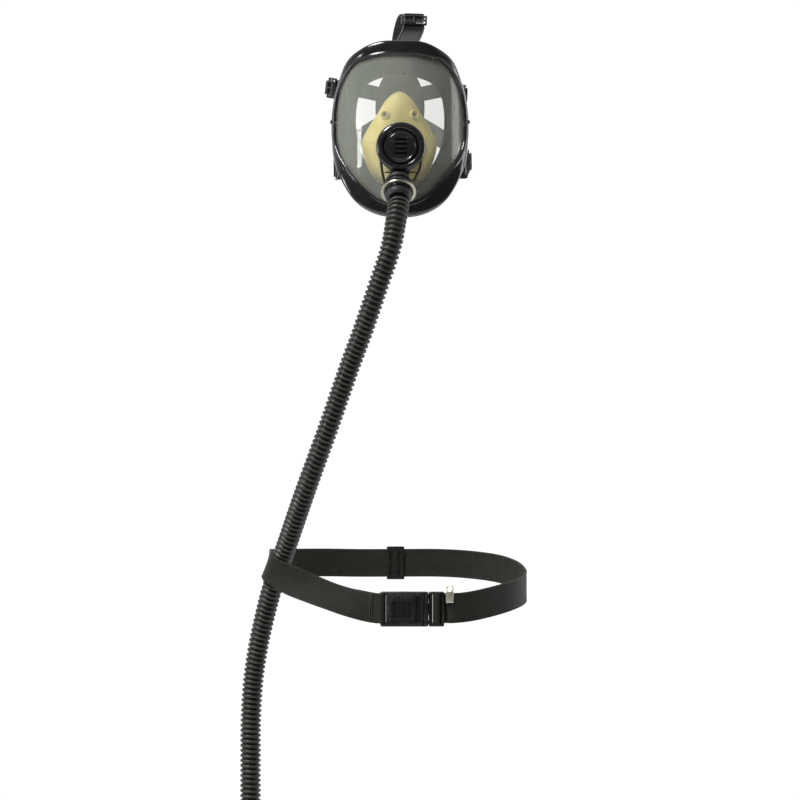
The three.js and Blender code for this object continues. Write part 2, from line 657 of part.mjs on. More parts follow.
function makeCupDisc(side) {
  const { at, axis } = cupValvePlace(side);
  const face = -CUP_WALL - 1.5 - FIT;
  return turned(discProfile(CUP_VALVE_R - 2.4, face - 0.8, face), at, axis, 20);
}

// ---- breathing hose ----
const NUT_START = FIT;
const CUFF_START = NUT_START + NUT_LENGTH + FIT;
const HOSE_START = CUFF_START + CUFF_LENGTH + FIT;

// The nut's collar turns on the port's end, held between the port and the hose cuff.
function makeNut() {
  const ring = turned([
    [HOSE_BORE_R, 0], [NUT_R - 1, 0], [NUT_R, 1], [NUT_R, NUT_LENGTH * 0.5], [NUT_R - 3.5, NUT_LENGTH * 0.62],
    [HOSE_R + CUFF_WALL + 1, NUT_LENGTH], [HOSE_BORE_R, NUT_LENGTH], [HOSE_BORE_R, 0],
  ], inletAt(NUT_START), inletAxis, 36);
  const grips = Array.from({ length: 12 }, (_, i) => {
    const grip = new THREE.BoxGeometry(2, 5, 2.4);
    grip.translate(NUT_R + 0.1, 2.6, 0);
    grip.rotateY(i * Math.PI / 6);
    grip.applyQuaternion(new THREE.Quaternion().setFromUnitVectors(V(0, 1, 0), inletAxis));
    const at = inletAt(NUT_START);
    grip.translate(at.x, at.y, at.z);
    return grip;
  });
  return cut(ring, ...grips);
}

function makeCuff(at, axis) {
  return turned([
    [HOSE_BORE_R, 0], [HOSE_R + CUFF_WALL - 1, 0], [HOSE_R + CUFF_WALL, 1], [HOSE_R + CUFF_WALL, CUFF_LENGTH - 3],
    [HOSE_R + 0.6, CUFF_LENGTH], [HOSE_BORE_R, CUFF_LENGTH], [HOSE_BORE_R, 0],
  ], at, axis);
}

// The hose falls from the mask over the chest to the right hip, runs behind the belt and hangs down the leg.
const HOSE_ROUTE = [
  [-2, -152.6, -133.2], [-2, -158.4, -140.1], [-3.6, -167, -152], [-6, -173.5, -166], [-8.5, -178, -182],
  [-13.4, -181, -202], [-23.6, -180.5, -232], [-35.3, -176, -266], [-47.3, -168, -300], [-60.9, -159, -336],
  [-74.1, -151, -373], [-88.1, -143, -413], [-102.5, -134, -452], [-117, -122, -491], [-129.6, -106, -526],
  [-140.9, -90, -558], [-151.7, -76, -588], [-163.7, -64, -622], [-174.2, -54, -660], [-183.6, -47, -702],
  [-190.3, -43, -745], [-193.8, -41, -795], [-194.4, -40, -850], [-194.4, -40, -905], [-194.4, -40, -960],
  [-194.4, -40, -1015], [-194.4, -40, -1062],
].map((p) => V(...p));
const HOSE_STEPS = 36;

const hosePath = new THREE.CatmullRomCurve3(HOSE_ROUTE);

function makeHose() {
  const section = new THREE.Shape();
  const sides = 12;
  for (let i = 0; i < sides; i += 1) {
    const angle = 2 * Math.PI * i / sides;
    const x = HOSE_R * Math.cos(angle);
    const y = HOSE_R * Math.sin(angle);
    if (i === 0) {
      section.moveTo(x, y);
    } else {
      section.lineTo(x, y);
    }
  }
  section.closePath();
  return new THREE.ExtrudeGeometry(section, { steps: HOSE_STEPS, extrudePath: hosePath });
}

const hoseEnd = HOSE_ROUTE.at(-1);
const DOWN = V(0, 0, -1);
const belowHose = (s) => hoseEnd.clone().addScaledVector(DOWN, s);
const CONNECTOR_START = FIT + CUFF_LENGTH + FIT;
const SPIGOT_R = HOSE_R + 2.5;
const FLANGE_R = SPIGOT_R + 2.5;
const FLANGE_LENGTH = 3;
const ORING_S = CONNECTOR_LENGTH - 5;

// The spigot plugs into the air supply; a groove near its end holds the O-ring.
function makeConnector() {
  const bore = HOSE_BORE_R - 1;
  return turned([
    [bore, 0], [SPIGOT_R, 0], [SPIGOT_R, 4], [FLANGE_R, 4], [FLANGE_R, 4 + FLANGE_LENGTH],
    [SPIGOT_R, 4 + FLANGE_LENGTH], [SPIGOT_R, ORING_S], [SPIGOT_R - 1.4, ORING_S],
    [SPIGOT_R - 1.4, ORING_S + 2.6], [SPIGOT_R, ORING_S + 2.6], [SPIGOT_R - 0.8, CONNECTOR_LENGTH],
    [bore, CONNECTOR_LENGTH], [bore, 0],
  ], belowHose(CONNECTOR_START), DOWN);
}

function makeOring() {
  const r = 0.85;
  const centre = SPIGOT_R - 1.4 + r + 0.1;
  const profile = Array.from({ length: 9 }, (_, i) => {
    const angle = 2 * Math.PI * (i % 8) / 8;
    return [centre + r * Math.cos(angle), ORING_S + 1.3 + r * Math.sin(angle)];
  });
  return turned(profile, belowHose(CONNECTOR_START), DOWN);
}

// The bayonet collar turns on the spigot below the flange.
function makeCollar() {
  const inner = SPIGOT_R + RUN;
  const outer = inner + 4;
  const from = 4 + FLANGE_LENGTH + RUN;
  const shell = turned([
    [inner, from], [outer - 1, from], [outer, from + 1], [outer, from + COLLAR_LENGTH - 1],
    [outer - 1, from + COLLAR_LENGTH], [inner, from + COLLAR_LENGTH], [inner, from],
  ], belowHose(CONNECTOR_START), DOWN, 36);
  const at = belowHose(CONNECTOR_START);
  const slots = [0, 1].map((i) => {
    const slot = new THREE.BoxGeometry(7, 9, 5);
    slot.translate(outer * (i ? -1 : 1), 0, 0);
    slot.rotateX(Math.PI / 2);
    slot.translate(at.x, at.y, at.z - from - COLLAR_LENGTH + 2);
    return slot;
  });
  return cut(shell, ...slots);
}

// ---- waist belt ----
// Half the belt each way from the buckle, as shares of the waist's half width and of its depth from front
// to back, with the height and the lean of the webbing in degrees (top edge away from the viewer).
const WAIST_DEPTH = WAIST_BACK_Y - WAIST_FRONT_Y;
const waist = (x, y, z, lean) => {
  const at = V(x * WAIST_HALF_WIDTH, WAIST_FRONT_Y + y * WAIST_DEPTH, z);
  return [at, V(0, Math.sin(rad(lean)), Math.cos(rad(lean)))];
};
const SOCKET_RIGHT_X = BUCKLE_LEFT_X + SOCKET_LENGTH;
const BUCKLE_RIGHT_X = SOCKET_RIGHT_X + PLUG_LENGTH;
const BELT_BACK_Z = -606;
const SEAM_X = -6;
const HALF_SEAM = 0.2;
const SEAM_ROW = (side) => [V(SEAM_X + side * HALF_SEAM, WAIST_BACK_Y, BELT_BACK_Z), V(0, 0, 1)];
const LEAD_IN = 8; // the webbing is straight for this far beside the buckle
// A stop in front, by its share of the way from the lead-in to the side of the waist.
const front = (share, y, z, lean) => {
  const start = Math.sign(share) > 0 ? BUCKLE_RIGHT_X + LEAD_IN : BUCKLE_LEFT_X - LEAD_IN;
  const side = Math.sign(share) * WAIST_HALF_WIDTH;
  return waist((start + (side - start) * Math.abs(share)) / WAIST_HALF_WIDTH, y, z, lean);
};
// Over the hose the webbing lies along it: a stop on its round, by degrees from its front to its outer side.
const BELT_OVER_HOSE_Z = -600;
const BELT_HOSE_GAP = 0.75;

const hoseAtHeight = (z) => {
  const steps = 400;
  return Array.from({ length: steps }, (_, i) => i / steps).find((u) => hosePath.getPoint(u).z < z);
};
const underBelt = [1, 0, -1].map((k) => hosePath.getPoint(hoseAtHeight(BELT_OVER_HOSE_Z + k * WEBBING_WIDTH / 2)));
// How far the curved hose stands out of a straight line across the webbing.
const HOSE_BOW = underBelt[0].clone().add(underBelt[2]).multiplyScalar(0.5).distanceTo(underBelt[1]);
const BELT_REACH = HOSE_R + HOSE_BOW + BELT_HOSE_GAP + WEBBING_THICKNESS / 2;

function overHose(angle) {
  const t = hoseAtHeight(BELT_OVER_HOSE_Z);
  const up = hosePath.getTangent(t).negate();
  const ahead = FORWARD.clone().addScaledVector(up, -up.dot(FORWARD)).normalize();
  const outside = ahead.clone().cross(up).normalize();
  const at = hosePath.getPoint(t).addScaledVector(ahead, BELT_REACH * Math.cos(rad(angle)))
    .addScaledVector(outside, BELT_REACH * Math.sin(rad(angle)));
  return [at, up];
}

// Behind the hose the webbing leaves it for the side of the waist.
const BEHIND_HOSE = 34;
const LEAVE_HOSE_IN = 9.7; // nearer the waist than the hose's outer side at the webbing's lower edge
const offHose = () => {
  const [above, at, below] = underBelt;
  const lowerEdge = (below.x - above.x) / 2;
  return [V(at.x - BELT_REACH + lowerEdge + LEAVE_HOSE_IN, at.y + BEHIND_HOSE, -597), waist(0, 0, 0, -8)[1]];
};

const BELT_RIGHT = [
  [V(BUCKLE_LEFT_X - 2 * FIT, WAIST_FRONT_Y, BUCKLE_Z + 1), V(0, 0, 1)],
  [V(BUCKLE_LEFT_X - LEAD_IN, WAIST_FRONT_Y, BUCKLE_Z + 1), V(0, 0, 1)],
  front(-0.05, 0.004, -646.5, 8),
  front(-0.225, 0.018, -641.5, 24),
  front(-0.425, 0.044, -633.5, 30),
  front(-0.625, 0.078, -624, 24),
  front(-0.825, 0.114, -613.5, 4),
  overHose(22),
  overHose(46),
  overHose(70),
  overHose(94),
  offHose(),
  waist(-1, 0.52, -599, 0),
  waist(-0.94, 0.74, -602, 0),
  waist(-0.8, 0.89, -604, 0),
  waist(-0.58, 0.965, -605, 0),
  waist(-0.34, 0.993, -606, 0),
  SEAM_ROW(-1),
];
const BELT_LEFT = [
  SEAM_ROW(1),
  waist(0.34, 0.993, -606, 0),
  waist(0.58, 0.965, -608, 0),
  waist(0.8, 0.89, -612, 0),
  waist(0.94, 0.74, -618, 0),
  waist(1, 0.54, -625, 0),
  waist(0.985, 0.36, -630, 0),
  front(0.82, 0.2, -634.5, 0),
  front(0.575, 0.094, -640, 0),
  front(0.28, 0.024, -645.5, 0),
  front(0.1, 0.003, -647.5, 0),
  [V(BUCKLE_RIGHT_X + LEAD_IN, WAIST_FRONT_Y, BUCKLE_Z + 1), V(0, 0, 1)],
  [V(BUCKLE_RIGHT_X + 2 * FIT, WAIST_FRONT_Y, BUCKLE_Z + 1), V(0, 0, 1)],
];
const BELT_STEPS = 40;

const makeBelt = (rows) => ribbon(routeStops(rows, BELT_STEPS), WEBBING_WIDTH, WEBBING_THICKNESS);

// The adjuster is a flat three-bar slide over the join at the back.
function makeAdjuster() {
  const y0 = WAIST_BACK_Y + WEBBING_THICKNESS / 2 + FIT;
  const y1 = WAIST_BACK_Y - WEBBING_THICKNESS / 2 - FIT;
  const half = WEBBING_WIDTH / 2 + RUN;
  const plate = box(SEAM_X - 12, SEAM_X + 12, y1 - 1.6, y0 + 2.4, BELT_BACK_Z - half - 3, BELT_BACK_Z + half + 3);
  const way = box(SEAM_X - 20, SEAM_X + 20, y1, y0, BELT_BACK_Z - half, BELT_BACK_Z + half);
  const windows = [-1, 1].map((side) => {
    const x = SEAM_X + side * 5.5;
    return box(x - 3, x + 3, y0 - 1, y0 + 9, BELT_BACK_Z - half, BELT_BACK_Z + half);
  });
  return cut(plate, way, ...windows);
}

const BUCKLE_HALF = WEBBING_WIDTH / 2 + BUCKLE_MARGIN;
const WINDOW_X = [BUCKLE_LEFT_X + 24, BUCKLE_LEFT_X + 38]; // the side windows that the prongs catch in
const MOUTH_BACK_X = BUCKLE_LEFT_X + 16;

function makeSocket() {
  const halfY = SOCKET_THICKNESS / 2;
  const y = WAIST_FRONT_Y;
  const shell = box(BUCKLE_LEFT_X, SOCKET_RIGHT_X, y - halfY, y + halfY, BUCKLE_Z - BUCKLE_HALF, BUCKLE_Z + BUCKLE_HALF);
  const inside = BUCKLE_HALF - SOCKET_WALL - 1;
  const mouth = box(
    MOUTH_BACK_X, SOCKET_RIGHT_X + 5, y - halfY + SOCKET_WALL, y + halfY - SOCKET_WALL,
    BUCKLE_Z - inside, BUCKLE_Z + inside,
  );
  const windows = box(
    WINDOW_X[0], WINDOW_X[1], y - halfY + SOCKET_WALL, y + halfY - SOCKET_WALL,
    BUCKLE_Z - BUCKLE_HALF - 5, BUCKLE_Z + BUCKLE_HALF + 5,
  );
  const half = WEBBING_WIDTH / 2 + RUN;
  const slot = box(BUCKLE_LEFT_X + 4, BUCKLE_LEFT_X + 11, y - 20, y + 20, BUCKLE_Z - half, BUCKLE_Z + half);
  return cut(shell, mouth, windows, slot);
}

function makePlug() {
  const y = WAIST_FRONT_Y;
  const x0 = SOCKET_RIGHT_X + RUN;
  const body = box(x0, BUCKLE_RIGHT_X, y - 5, y + 5, BUCKLE_Z - BUCKLE_HALF, BUCKLE_Z + BUCKLE_HALF);
  const tongue = box(MOUTH_BACK_X + 6, x0 + 1, y - 2, y + 2, BUCKLE_Z - 4, BUCKLE_Z + 4);
  const half = WEBBING_WIDTH / 2 + RUN;
  const slots = [4.5, 12].map((dx) => box(x0 + dx, x0 + dx + 4, y - 20, y + 20, BUCKLE_Z - half, BUCKLE_Z + half));
  return cut(combine(body, tongue), ...slots);
}

const PRONG_ROOT_X = SOCKET_RIGHT_X;
const PRONG_ROOT_Z = 11;

// Each springy arm reaches into the socket and its shoulder stands in the side window.
function makeProng(side) {
  const reach = WINDOW_X[0] + 1.5;
  const outer = BUCKLE_HALF - 0.8;
  const inner = BUCKLE_HALF - SOCKET_WALL - 1 - RUN;
  const arm = new THREE.Shape([
    [PRONG_ROOT_X, PRONG_ROOT_Z - 3], [PRONG_ROOT_X, PRONG_ROOT_Z + 3], [WINDOW_X[1] - 0.8, inner - 1.2],
    [WINDOW_X[1] - 0.8, outer], [reach + 4, outer], [reach, inner - 3], [reach, inner - 6],
    [WINDOW_X[1] - 3, inner - 5],
  ].map(([x, z]) => new THREE.Vector2(x, z)));
  const depth = SOCKET_THICKNESS - 2 * SOCKET_WALL - 2 * RUN;
  const geometry = new THREE.ExtrudeGeometry(arm, { depth, bevelEnabled: false });
  geometry.rotateX(Math.PI / 2);
  geometry.translate(0, WAIST_FRONT_Y + depth / 2, 0);
  if (side < 0) {
    geometry.rotateX(Math.PI);
    geometry.translate(0, 2 * WAIST_FRONT_Y, 0);
  }
  geometry.translate(0, 0, BUCKLE_Z);
  return geometry;
}

// A folded metal clip over the webbing's top edge beside the buckle holds its loose end down.
const CLIP_WIDTH = 10;
const CLIP_GRIP = 12; // how far it reaches down over the webbing, and stands up above it
const CLIP_WALL = 1.2;

function makeTailClip() {
  const x0 = BUCKLE_RIGHT_X + 2;
  const x1 = x0 + CLIP_WIDTH;
  const y = WAIST_FRONT_Y;
  const edge = BUCKLE_Z + 1 + WEBBING_WIDTH / 2;
  const gap = WEBBING_THICKNESS / 2 + 3 * RUN;
  const body = box(x0, x1, y - gap - CLIP_WALL, y + gap + CLIP_WALL, edge - CLIP_GRIP, edge + CLIP_GRIP);
  const fold = box(x0 - 1, x1 + 1, y - gap, y + gap, edge - CLIP_GRIP - 1, edge + RUN);
  const eye = box(x0 + 2.5, x1 - 2.5, y - 20, y + 20, edge + 4, edge + CLIP_GRIP - 2.5);
  return cut(body, fold, eye);
}

// ---- assembly ----
const skirt = loft(around.map(skirtSection), true);
piece("facepiece_skirt", combine(skirt, ...STRAPS.map(makeTab)), rubber());
piece("lens", makeLens(), clearLens());
piece("rim_upper", makeRimHalf(-SPLIT_STATION, SPLIT_STATION), glossBlack());
piece("rim_lower", makeRimHalf(SPLIT_STATION, STATIONS - SPLIT_STATION), glossBlack());
piece("rim_screw_left", makeScrew(1), steel());
piece("rim_screw_right", makeScrew(-1), steel());
for (const strap of STRAPS) {
  piece(`${strap.name}_buckle`, makeBuckleFrame(strap), blackPlastic());
  piece(`${strap.name}_lever`, makeLever(strap), blackPlastic());
  piece(`${strap.name}_strap`, makeStrap(strap), rubber());
}
piece("crown_pad", makePad(), rubber());

piece("unit_body", makeUnitBody(), blackPlastic());
piece("unit_bezel", makeBezel(), glossBlack());
piece("front_cover", makeCover(), glossBlack());
piece("unit_retainer", makeRetainer(), blackPlastic());
piece("exhale_valve_disc", exhaleDisc(), rubber());
piece("inlet_valve_disc", inletDisc(), rubber());
piece("nose_cup", makeNoseCup(), cupYellow());
for (const side of ["left", "right"]) {
  piece(`cup_valve_seat_${side}`, makeCupSeat(side), blackPlastic());
  piece(`cup_valve_disc_${side}`, makeCupDisc(side), rubber());
}

piece("coupling_nut", makeNut(), steel());
piece("hose_cuff_top", makeCuff(inletAt(CUFF_START), inletAxis), rubber());
piece("breathing_hose", makeHose(), hoseBlack());
piece("hose_cuff_end", makeCuff(belowHose(FIT + CUFF_LENGTH), V(0, 0, 1)), rubber());
piece("end_connector", makeConnector(), blackPlastic());
piece("connector_oring", makeOring(), rubber());
piece("connector_collar", makeCollar(), blackPlastic());

piece("belt_webbing_right", makeBelt(BELT_RIGHT), webbing());
piece("belt_webbing_left", makeBelt(BELT_LEFT), webbing());
piece("belt_adjuster", makeAdjuster(), blackPlastic());
piece("buckle_socket", makeSocket(), blackPlastic());
piece("buckle_plug", makePlug(), blackPlastic());
piece("buckle_prong_upper", makeProng(1), blackPlastic());
piece("buckle_prong_lower", makeProng(-1), blackPlastic());
piece("belt_tail_clip", makeTailClip(), steel());

export default group;
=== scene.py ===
# Air-fed full-face respirator as it is worn: mask, head harness, breathing hose and waist belt.
# Metres, +Z up, the wearer faces -Y, and the origin is the middle of the wearer's head.
import math
from bisect import bisect_left

import bmesh
import bpy
from mathutils import Matrix, Vector


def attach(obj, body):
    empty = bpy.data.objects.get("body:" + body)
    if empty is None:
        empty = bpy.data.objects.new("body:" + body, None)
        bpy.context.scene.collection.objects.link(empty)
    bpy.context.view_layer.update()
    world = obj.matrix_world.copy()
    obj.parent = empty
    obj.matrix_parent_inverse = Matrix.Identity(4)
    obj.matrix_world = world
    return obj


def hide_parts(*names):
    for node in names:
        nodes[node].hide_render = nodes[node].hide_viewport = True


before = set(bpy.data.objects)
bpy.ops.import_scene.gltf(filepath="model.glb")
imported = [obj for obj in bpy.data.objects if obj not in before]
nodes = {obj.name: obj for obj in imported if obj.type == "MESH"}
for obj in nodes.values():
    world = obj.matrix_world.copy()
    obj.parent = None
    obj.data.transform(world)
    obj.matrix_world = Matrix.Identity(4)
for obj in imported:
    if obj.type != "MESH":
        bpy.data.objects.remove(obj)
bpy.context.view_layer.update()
ROOT = "mask_and_belt"

# ---- camera ----
# Level, at the height of the wearer's waist, and far enough off for a portrait lens.
camera = bpy.data.objects.new("camera", bpy.data.cameras.new("camera"))
camera.data.lens = 108.98
camera.data.sensor_width = 36
camera.location = (0, -3.19, -0.384)
camera.rotation_euler = (math.radians(90), 0, 0)
bpy.context.scene.collection.objects.link(camera)
bpy.context.scene.camera = camera


# ---- breathing hose ----
# Corrugated synthetic rubber, 27 mm over the ribs, blown in a mould of rings. It hangs from the
# mask, crosses the chest to the right hip, runs under the belt and hangs down the leg.
HOSE_ROUTE = [
    (-0.002, -0.1526, -0.1332), (-0.002, -0.1584, -0.1401), (-0.0036, -0.167, -0.152),
    (-0.006, -0.1735, -0.166), (-0.0085, -0.178, -0.182), (-0.0134, -0.181, -0.202),
    (-0.0236, -0.1805, -0.232), (-0.0353, -0.176, -0.266), (-0.0473, -0.168, -0.3),
    (-0.0609, -0.159, -0.336), (-0.0741, -0.151, -0.373), (-0.0881, -0.143, -0.413),
    (-0.1025, -0.134, -0.452), (-0.117, -0.122, -0.491), (-0.1296, -0.106, -0.526),
    (-0.1409, -0.09, -0.558), (-0.1517, -0.076, -0.588), (-0.1637, -0.064, -0.622),
    (-0.1742, -0.054, -0.66), (-0.1836, -0.047, -0.702), (-0.1903, -0.043, -0.745),
    (-0.1938, -0.041, -0.795), (-0.1944, -0.04, -0.85), (-0.1944, -0.04, -0.905),
    (-0.1944, -0.04, -0.96), (-0.1944, -0.04, -1.015), (-0.1944, -0.04, -1.062),
]
HOSE_OD = 0.027
HOSE_INSIDE_R = 0.0102
RIB_PITCH = 0.0065
RIB_GROOVE = 0.0029
RIB_SHAPE = (0.0, 0.16, 0.7, 0.96, 1.0, 0.96, 0.7, 0.16)  # height round one rib
HOSE_PLAIN = 0.004  # the smooth ends, inside the cuffs


def route_point(points, share, closed=False):
    """The point at a share of the way along a smooth curve through points."""
    count = len(points)
    place = (share % 1 if closed else share) * (count if closed else count - 1)
    i = min(int(place), count - 1 if closed else count - 2)
    w = place - i
    if closed:
        p = [Vector(points[(i + k) % count]) for k in (-1, 0, 1, 2)]
    else:
        p = [Vector(points[min(max(i + k, 0), count - 1)]) for k in (-1, 0, 1, 2)]
        if i == 0:
            p[0] = 2 * p[1] - p[2]
        if i == count - 2:
            p[3] = 2 * p[2] - p[1]
    a, b, c = [(p[k + 1] - p[k]).length ** 0.5 for k in range(3)]
    b = b or 1
    a, c = a or b, c or b
    t1 = ((p[1] - p[0]) / a - (p[2] - p[0]) / (a + b) + (p[2] - p[1]) / b) * b
    t2 = ((p[2] - p[1]) / b - (p[3] - p[1]) / (b + c) + (p[3] - p[2]) / c) * b
    return (
        p[1] + t1 * w + (3 * (p[2] - p[1]) - 2 * t1 - t2) * w**2
        + (2 * (p[1] - p[2]) + t1 + t2) * w**3
    )


def finished(name, bm, body, *replaced, sharp=40):
    """The bmesh as a smooth-shaded piece that rides on a body and stands for CAD nodes."""
    mesh = bpy.data.meshes.new(name)
    bm.to_mesh(mesh)
    bm.free()
    mesh.shade_smooth()
    mesh.set_sharp_from_angle(angle=math.radians(sharp))
    made = bpy.data.objects.new(name, mesh)
    bpy.context.scene.collection.objects.link(made)
    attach(made, body)
    if replaced:
        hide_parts(*replaced)
    return made


def spin_round(bm, profile, closed=True, steps=64):
    """Spins a profile of (radius, height) pairs once round the Z axis."""
    verts = [bm.verts.new((radius, 0, height)) for radius, height in profile]
    ends = zip(verts, verts[1:] + verts[:1]) if closed else zip(verts, verts[1:])
    edges = [bm.edges.new(pair) for pair in ends]
    spun = bmesh.ops.spin(
        bm, geom=verts + edges, cent=(0, 0, 0), axis=(0, 0, 1),
        angle=math.tau, steps=steps, use_merge=True,
    )
    return spun


def tidy_normals(bm):
    bmesh.ops.remove_doubles(bm, verts=bm.verts, dist=1e-6)
    bmesh.ops.recalc_face_normals(bm, faces=bm.faces)


class LaidRoute:
    """A route with its length and a frame that doesn't twist, to lay a straight piece along."""

    def __init__(self, points, samples=1600):
        self.at = [route_point(points, i / samples) for i in range(samples + 1)]
        self.length = [0.0]
        for a, b in zip(self.at, self.at[1:]):
            self.length.append(self.length[-1] + (b - a).length)
        side = Vector((1, 0, 0))
        self.frames = []
        for i, here in enumerate(self.at):
            ahead = self.at[min(i + 1, samples)] - self.at[max(i - 1, 0)]
            ahead.normalize()
            side = (side - ahead * side.dot(ahead)).normalized()
            self.frames.append((side.copy(), ahead.cross(side), ahead))

    def place(self, co):
        i = min(max(bisect_left(self.length, co.z), 1), len(self.at) - 1)
        step = self.length[i] - self.length[i - 1]
        share = (co.z - self.length[i - 1]) / step
        here = self.at[i - 1].lerp(self.at[i], share)
        side, up, ahead = self.frames[i]
        return here + side * co.x + up * co.y


def new_material(name, **constants):
    """A material, its node tree and its shader, with the shader's constants set on its own sockets."""
    material = bpy.data.materials.new(name)
    material.use_nodes = True
    shader = material.node_tree.nodes["Principled BSDF"]
    for socket, value in constants.items():
        shader.inputs[socket.replace("_", " ")].default_value = value
    return material, material.node_tree, shader


def add_node(tree, kind, inputs=(), **settings):
    """A shader node with its settings, and its inputs set or linked by name or number."""
    made = tree.nodes.new("ShaderNode" + kind)
    for key, value in settings.items():
        setattr(made, key, value)
    for socket, value in dict(inputs).items():
        if isinstance(value, bpy.types.NodeSocket):
            tree.links.new(value, made.inputs[socket])
        else:
            made.inputs[socket].default_value = value
    return made


def object_noise(tree, scale, detail=4):
    place = add_node(tree, "TexCoord").outputs["Object"]
    return add_node(tree, "TexNoise", {"Vector": place, "Scale": scale, "Detail": detail}).outputs["Fac"]


def spread(tree, value, low, high, start=0.3, end=0.7):
    """A factor stretched from start..end to low..high."""
    scaled = add_node(tree, "MapRange", {
        "Value": value, "From Min": start, "From Max": end, "To Min": low, "To Max": high,
    })
    return scaled.outputs["Result"]


def mix_colours(tree, factor, dark, light):
    mixed = add_node(tree, "Mix", {"Factor": factor}, data_type="RGBA")
    mixed.inputs[6].default_value = dark
    mixed.inputs[7].default_value = light
    return mixed.outputs[2]


def moulded(name, dark, light, rough, grain, height, worn=None, **constants):
    """A moulded surface: colour and gloss that vary a little, a fine grain, and paler worn edges."""
    material, tree, shader = new_material(name, **constants)
    patches = object_noise(tree, 60)
    colour = mix_colours(tree, spread(tree, patches, 0, 1), (*dark, 1), (*light, 1))
    if worn:
        edge = add_node(tree, "NewGeometry").outputs["Pointiness"]
        scuffs = add_node(tree, "Math", {
            0: spread(tree, edge, 0, 1, 0.52, 0.6), 1: spread(tree, object_noise(tree, 400), 0, 1),
        }, operation="MULTIPLY").outputs[0]
        worn_mix = add_node(tree, "Mix", {"Factor": scuffs}, data_type="RGBA")
        tree.links.new(colour, worn_mix.inputs[6])
        worn_mix.inputs[7].default_value = (*worn, 1)
        colour = worn_mix.outputs[2]
    tree.links.new(colour, shader.inputs["Base Color"])
    smudges = spread(tree, object_noise(tree, 25, 6), rough[0], rough[1])
    tree.links.new(smudges, shader.inputs["Roughness"])
    bump = add_node(tree, "Bump", {"Height": object_noise(tree, grain, 3), "Distance": height, "Strength": 0.6})
    tree.links.new(bump.outputs["Normal"], shader.inputs["Normal"])
    return material


def hose_rubber():
    """Hose rubber with a moulded grain, its rib crests paler with dust and painted highlight, and its grooves near
    black as painted shade.
    """
    material, tree, shader = new_material("hose_rubber", Specular_IOR_Level=0.4)
    crest = add_node(tree, "Attribute", attribute_name="crest").outputs["Fac"]
    crest_dust_and_groove_shade = add_node(tree, "Math", {
        0: spread(tree, crest, 0, 1, 0.6, 1.0), 1: spread(tree, object_noise(tree, 90), 0.45, 1.0),
    }, operation="MULTIPLY").outputs[0]
    # Colour by rib height: the paler crests are dust and painted highlight, and the near-black grooves are painted
    # shade.
    colour = mix_colours(tree, crest_dust_and_groove_shade, (0.003, 0.003, 0.003, 1), (0.06, 0.057, 0.045, 1))
    tree.links.new(colour, shader.inputs["Base Color"])
    tree.links.new(spread(tree, object_noise(tree, 40), 0.36, 0.5), shader.inputs["Roughness"])
    bump = add_node(tree, "Bump", {"Height": object_noise(tree, 1400, 2), "Distance": 0.0002, "Strength": 0.4})
    tree.links.new(bump.outputs["Normal"], shader.inputs["Normal"])
    return material


hose_route = LaidRoute(HOSE_ROUTE)
hose_length = hose_route.length[-1]
rib_count = int((hose_length - 2 * HOSE_PLAIN) / RIB_PITCH)
rib_step = (hose_length - 2 * HOSE_PLAIN) / rib_count
root_r = HOSE_OD / 2 - RIB_GROOVE
outside = [(root_r, 0), (root_r, HOSE_PLAIN)]
for rib in range(rib_count):
    for k, lift in enumerate(RIB_SHAPE[1:], 1):
        height = HOSE_PLAIN + (rib + k / len(RIB_SHAPE)) * rib_step
        outside.append((root_r + RIB_GROOVE * lift, height))
    outside.append((root_r, HOSE_PLAIN + (rib + 1) * rib_step))
outside.append((root_r, hose_length))
inside = [(HOSE_INSIDE_R, hose_length * i / 240) for i in range(240, -1, -1)]
bm = bmesh.new()
crest_layer = bm.verts.layers.float.new("crest")
spin_round(bm, outside + inside, steps=36)
tidy_normals(bm)
for vert in bm.verts:
    vert[crest_layer] = max(0, (math.hypot(vert.co.x, vert.co.y) - root_r) / RIB_GROOVE)
    vert.co = hose_route.place(vert.co)
hose = finished("corrugated_hose", bm, ROOT, "breathing_hose", sharp=180)
hose.data.materials.append(hose_rubber())

# ---- hose cuffs and end connector ----
# The hose's ends are vulcanised into plain rubber cuffs. The lower cuff grips a moulded spigot
# with a bayonet collar and an O-ring, which plugs into the air supply.
INLET = Vector((-0.002, -0.14, -0.1182))
INLET_AXIS = Vector((0, -math.cos(math.radians(50)), -math.sin(math.radians(50))))
HOSE_R = HOSE_OD / 2
FIT = 0.00035
NUT_LENGTH = 0.008
CUFF_LENGTH = 0.010
CUFF_R = HOSE_R + 0.003
BORE_R = HOSE_R - 0.0022
rubber_black = moulded(
    "cuff_rubber", (0.012, 0.012, 0.013), (0.024, 0.024, 0.025), (0.32, 0.5), 1500, 0.0002,
)
black_plastic = moulded(
    "black_plastic", (0.011, 0.011, 0.012), (0.02, 0.02, 0.021), (0.34, 0.5), 1100, 0.0002,
    worn=(0.08, 0.08, 0.078),
)


def along(at, axis):
    """The transform that puts a piece made round the Z axis at a point, along an axis."""
    return Matrix.Translation(at) @ axis.to_track_quat("Z", "Y").to_matrix().to_4x4()


def turned(name, profile, at, axis, body, *replaced, material=None, steps=72, sharp=40):
    """A turned piece from a closed profile of (radius, distance along its axis) pairs."""
    bm = bmesh.new()
    spin_round(bm, profile, steps=steps)
    tidy_normals(bm)
    bmesh.ops.transform(bm, matrix=along(at, axis), verts=bm.verts)
    made = finished(name, bm, body, *replaced, sharp=sharp)
    if material:
        made.data.materials.append(material)
    return made


def soften(piece, width, segments=2, angle=35):
    """Small rounded edges, as a mould leaves them."""
    bevel = piece.modifiers.new("soft_edges", "BEVEL")
    bevel.width = width
    bevel.segments = segments
    bevel.limit_method = "ANGLE"
    bevel.angle_limit = math.radians(angle)
    bevel.harden_normals = True
    return piece


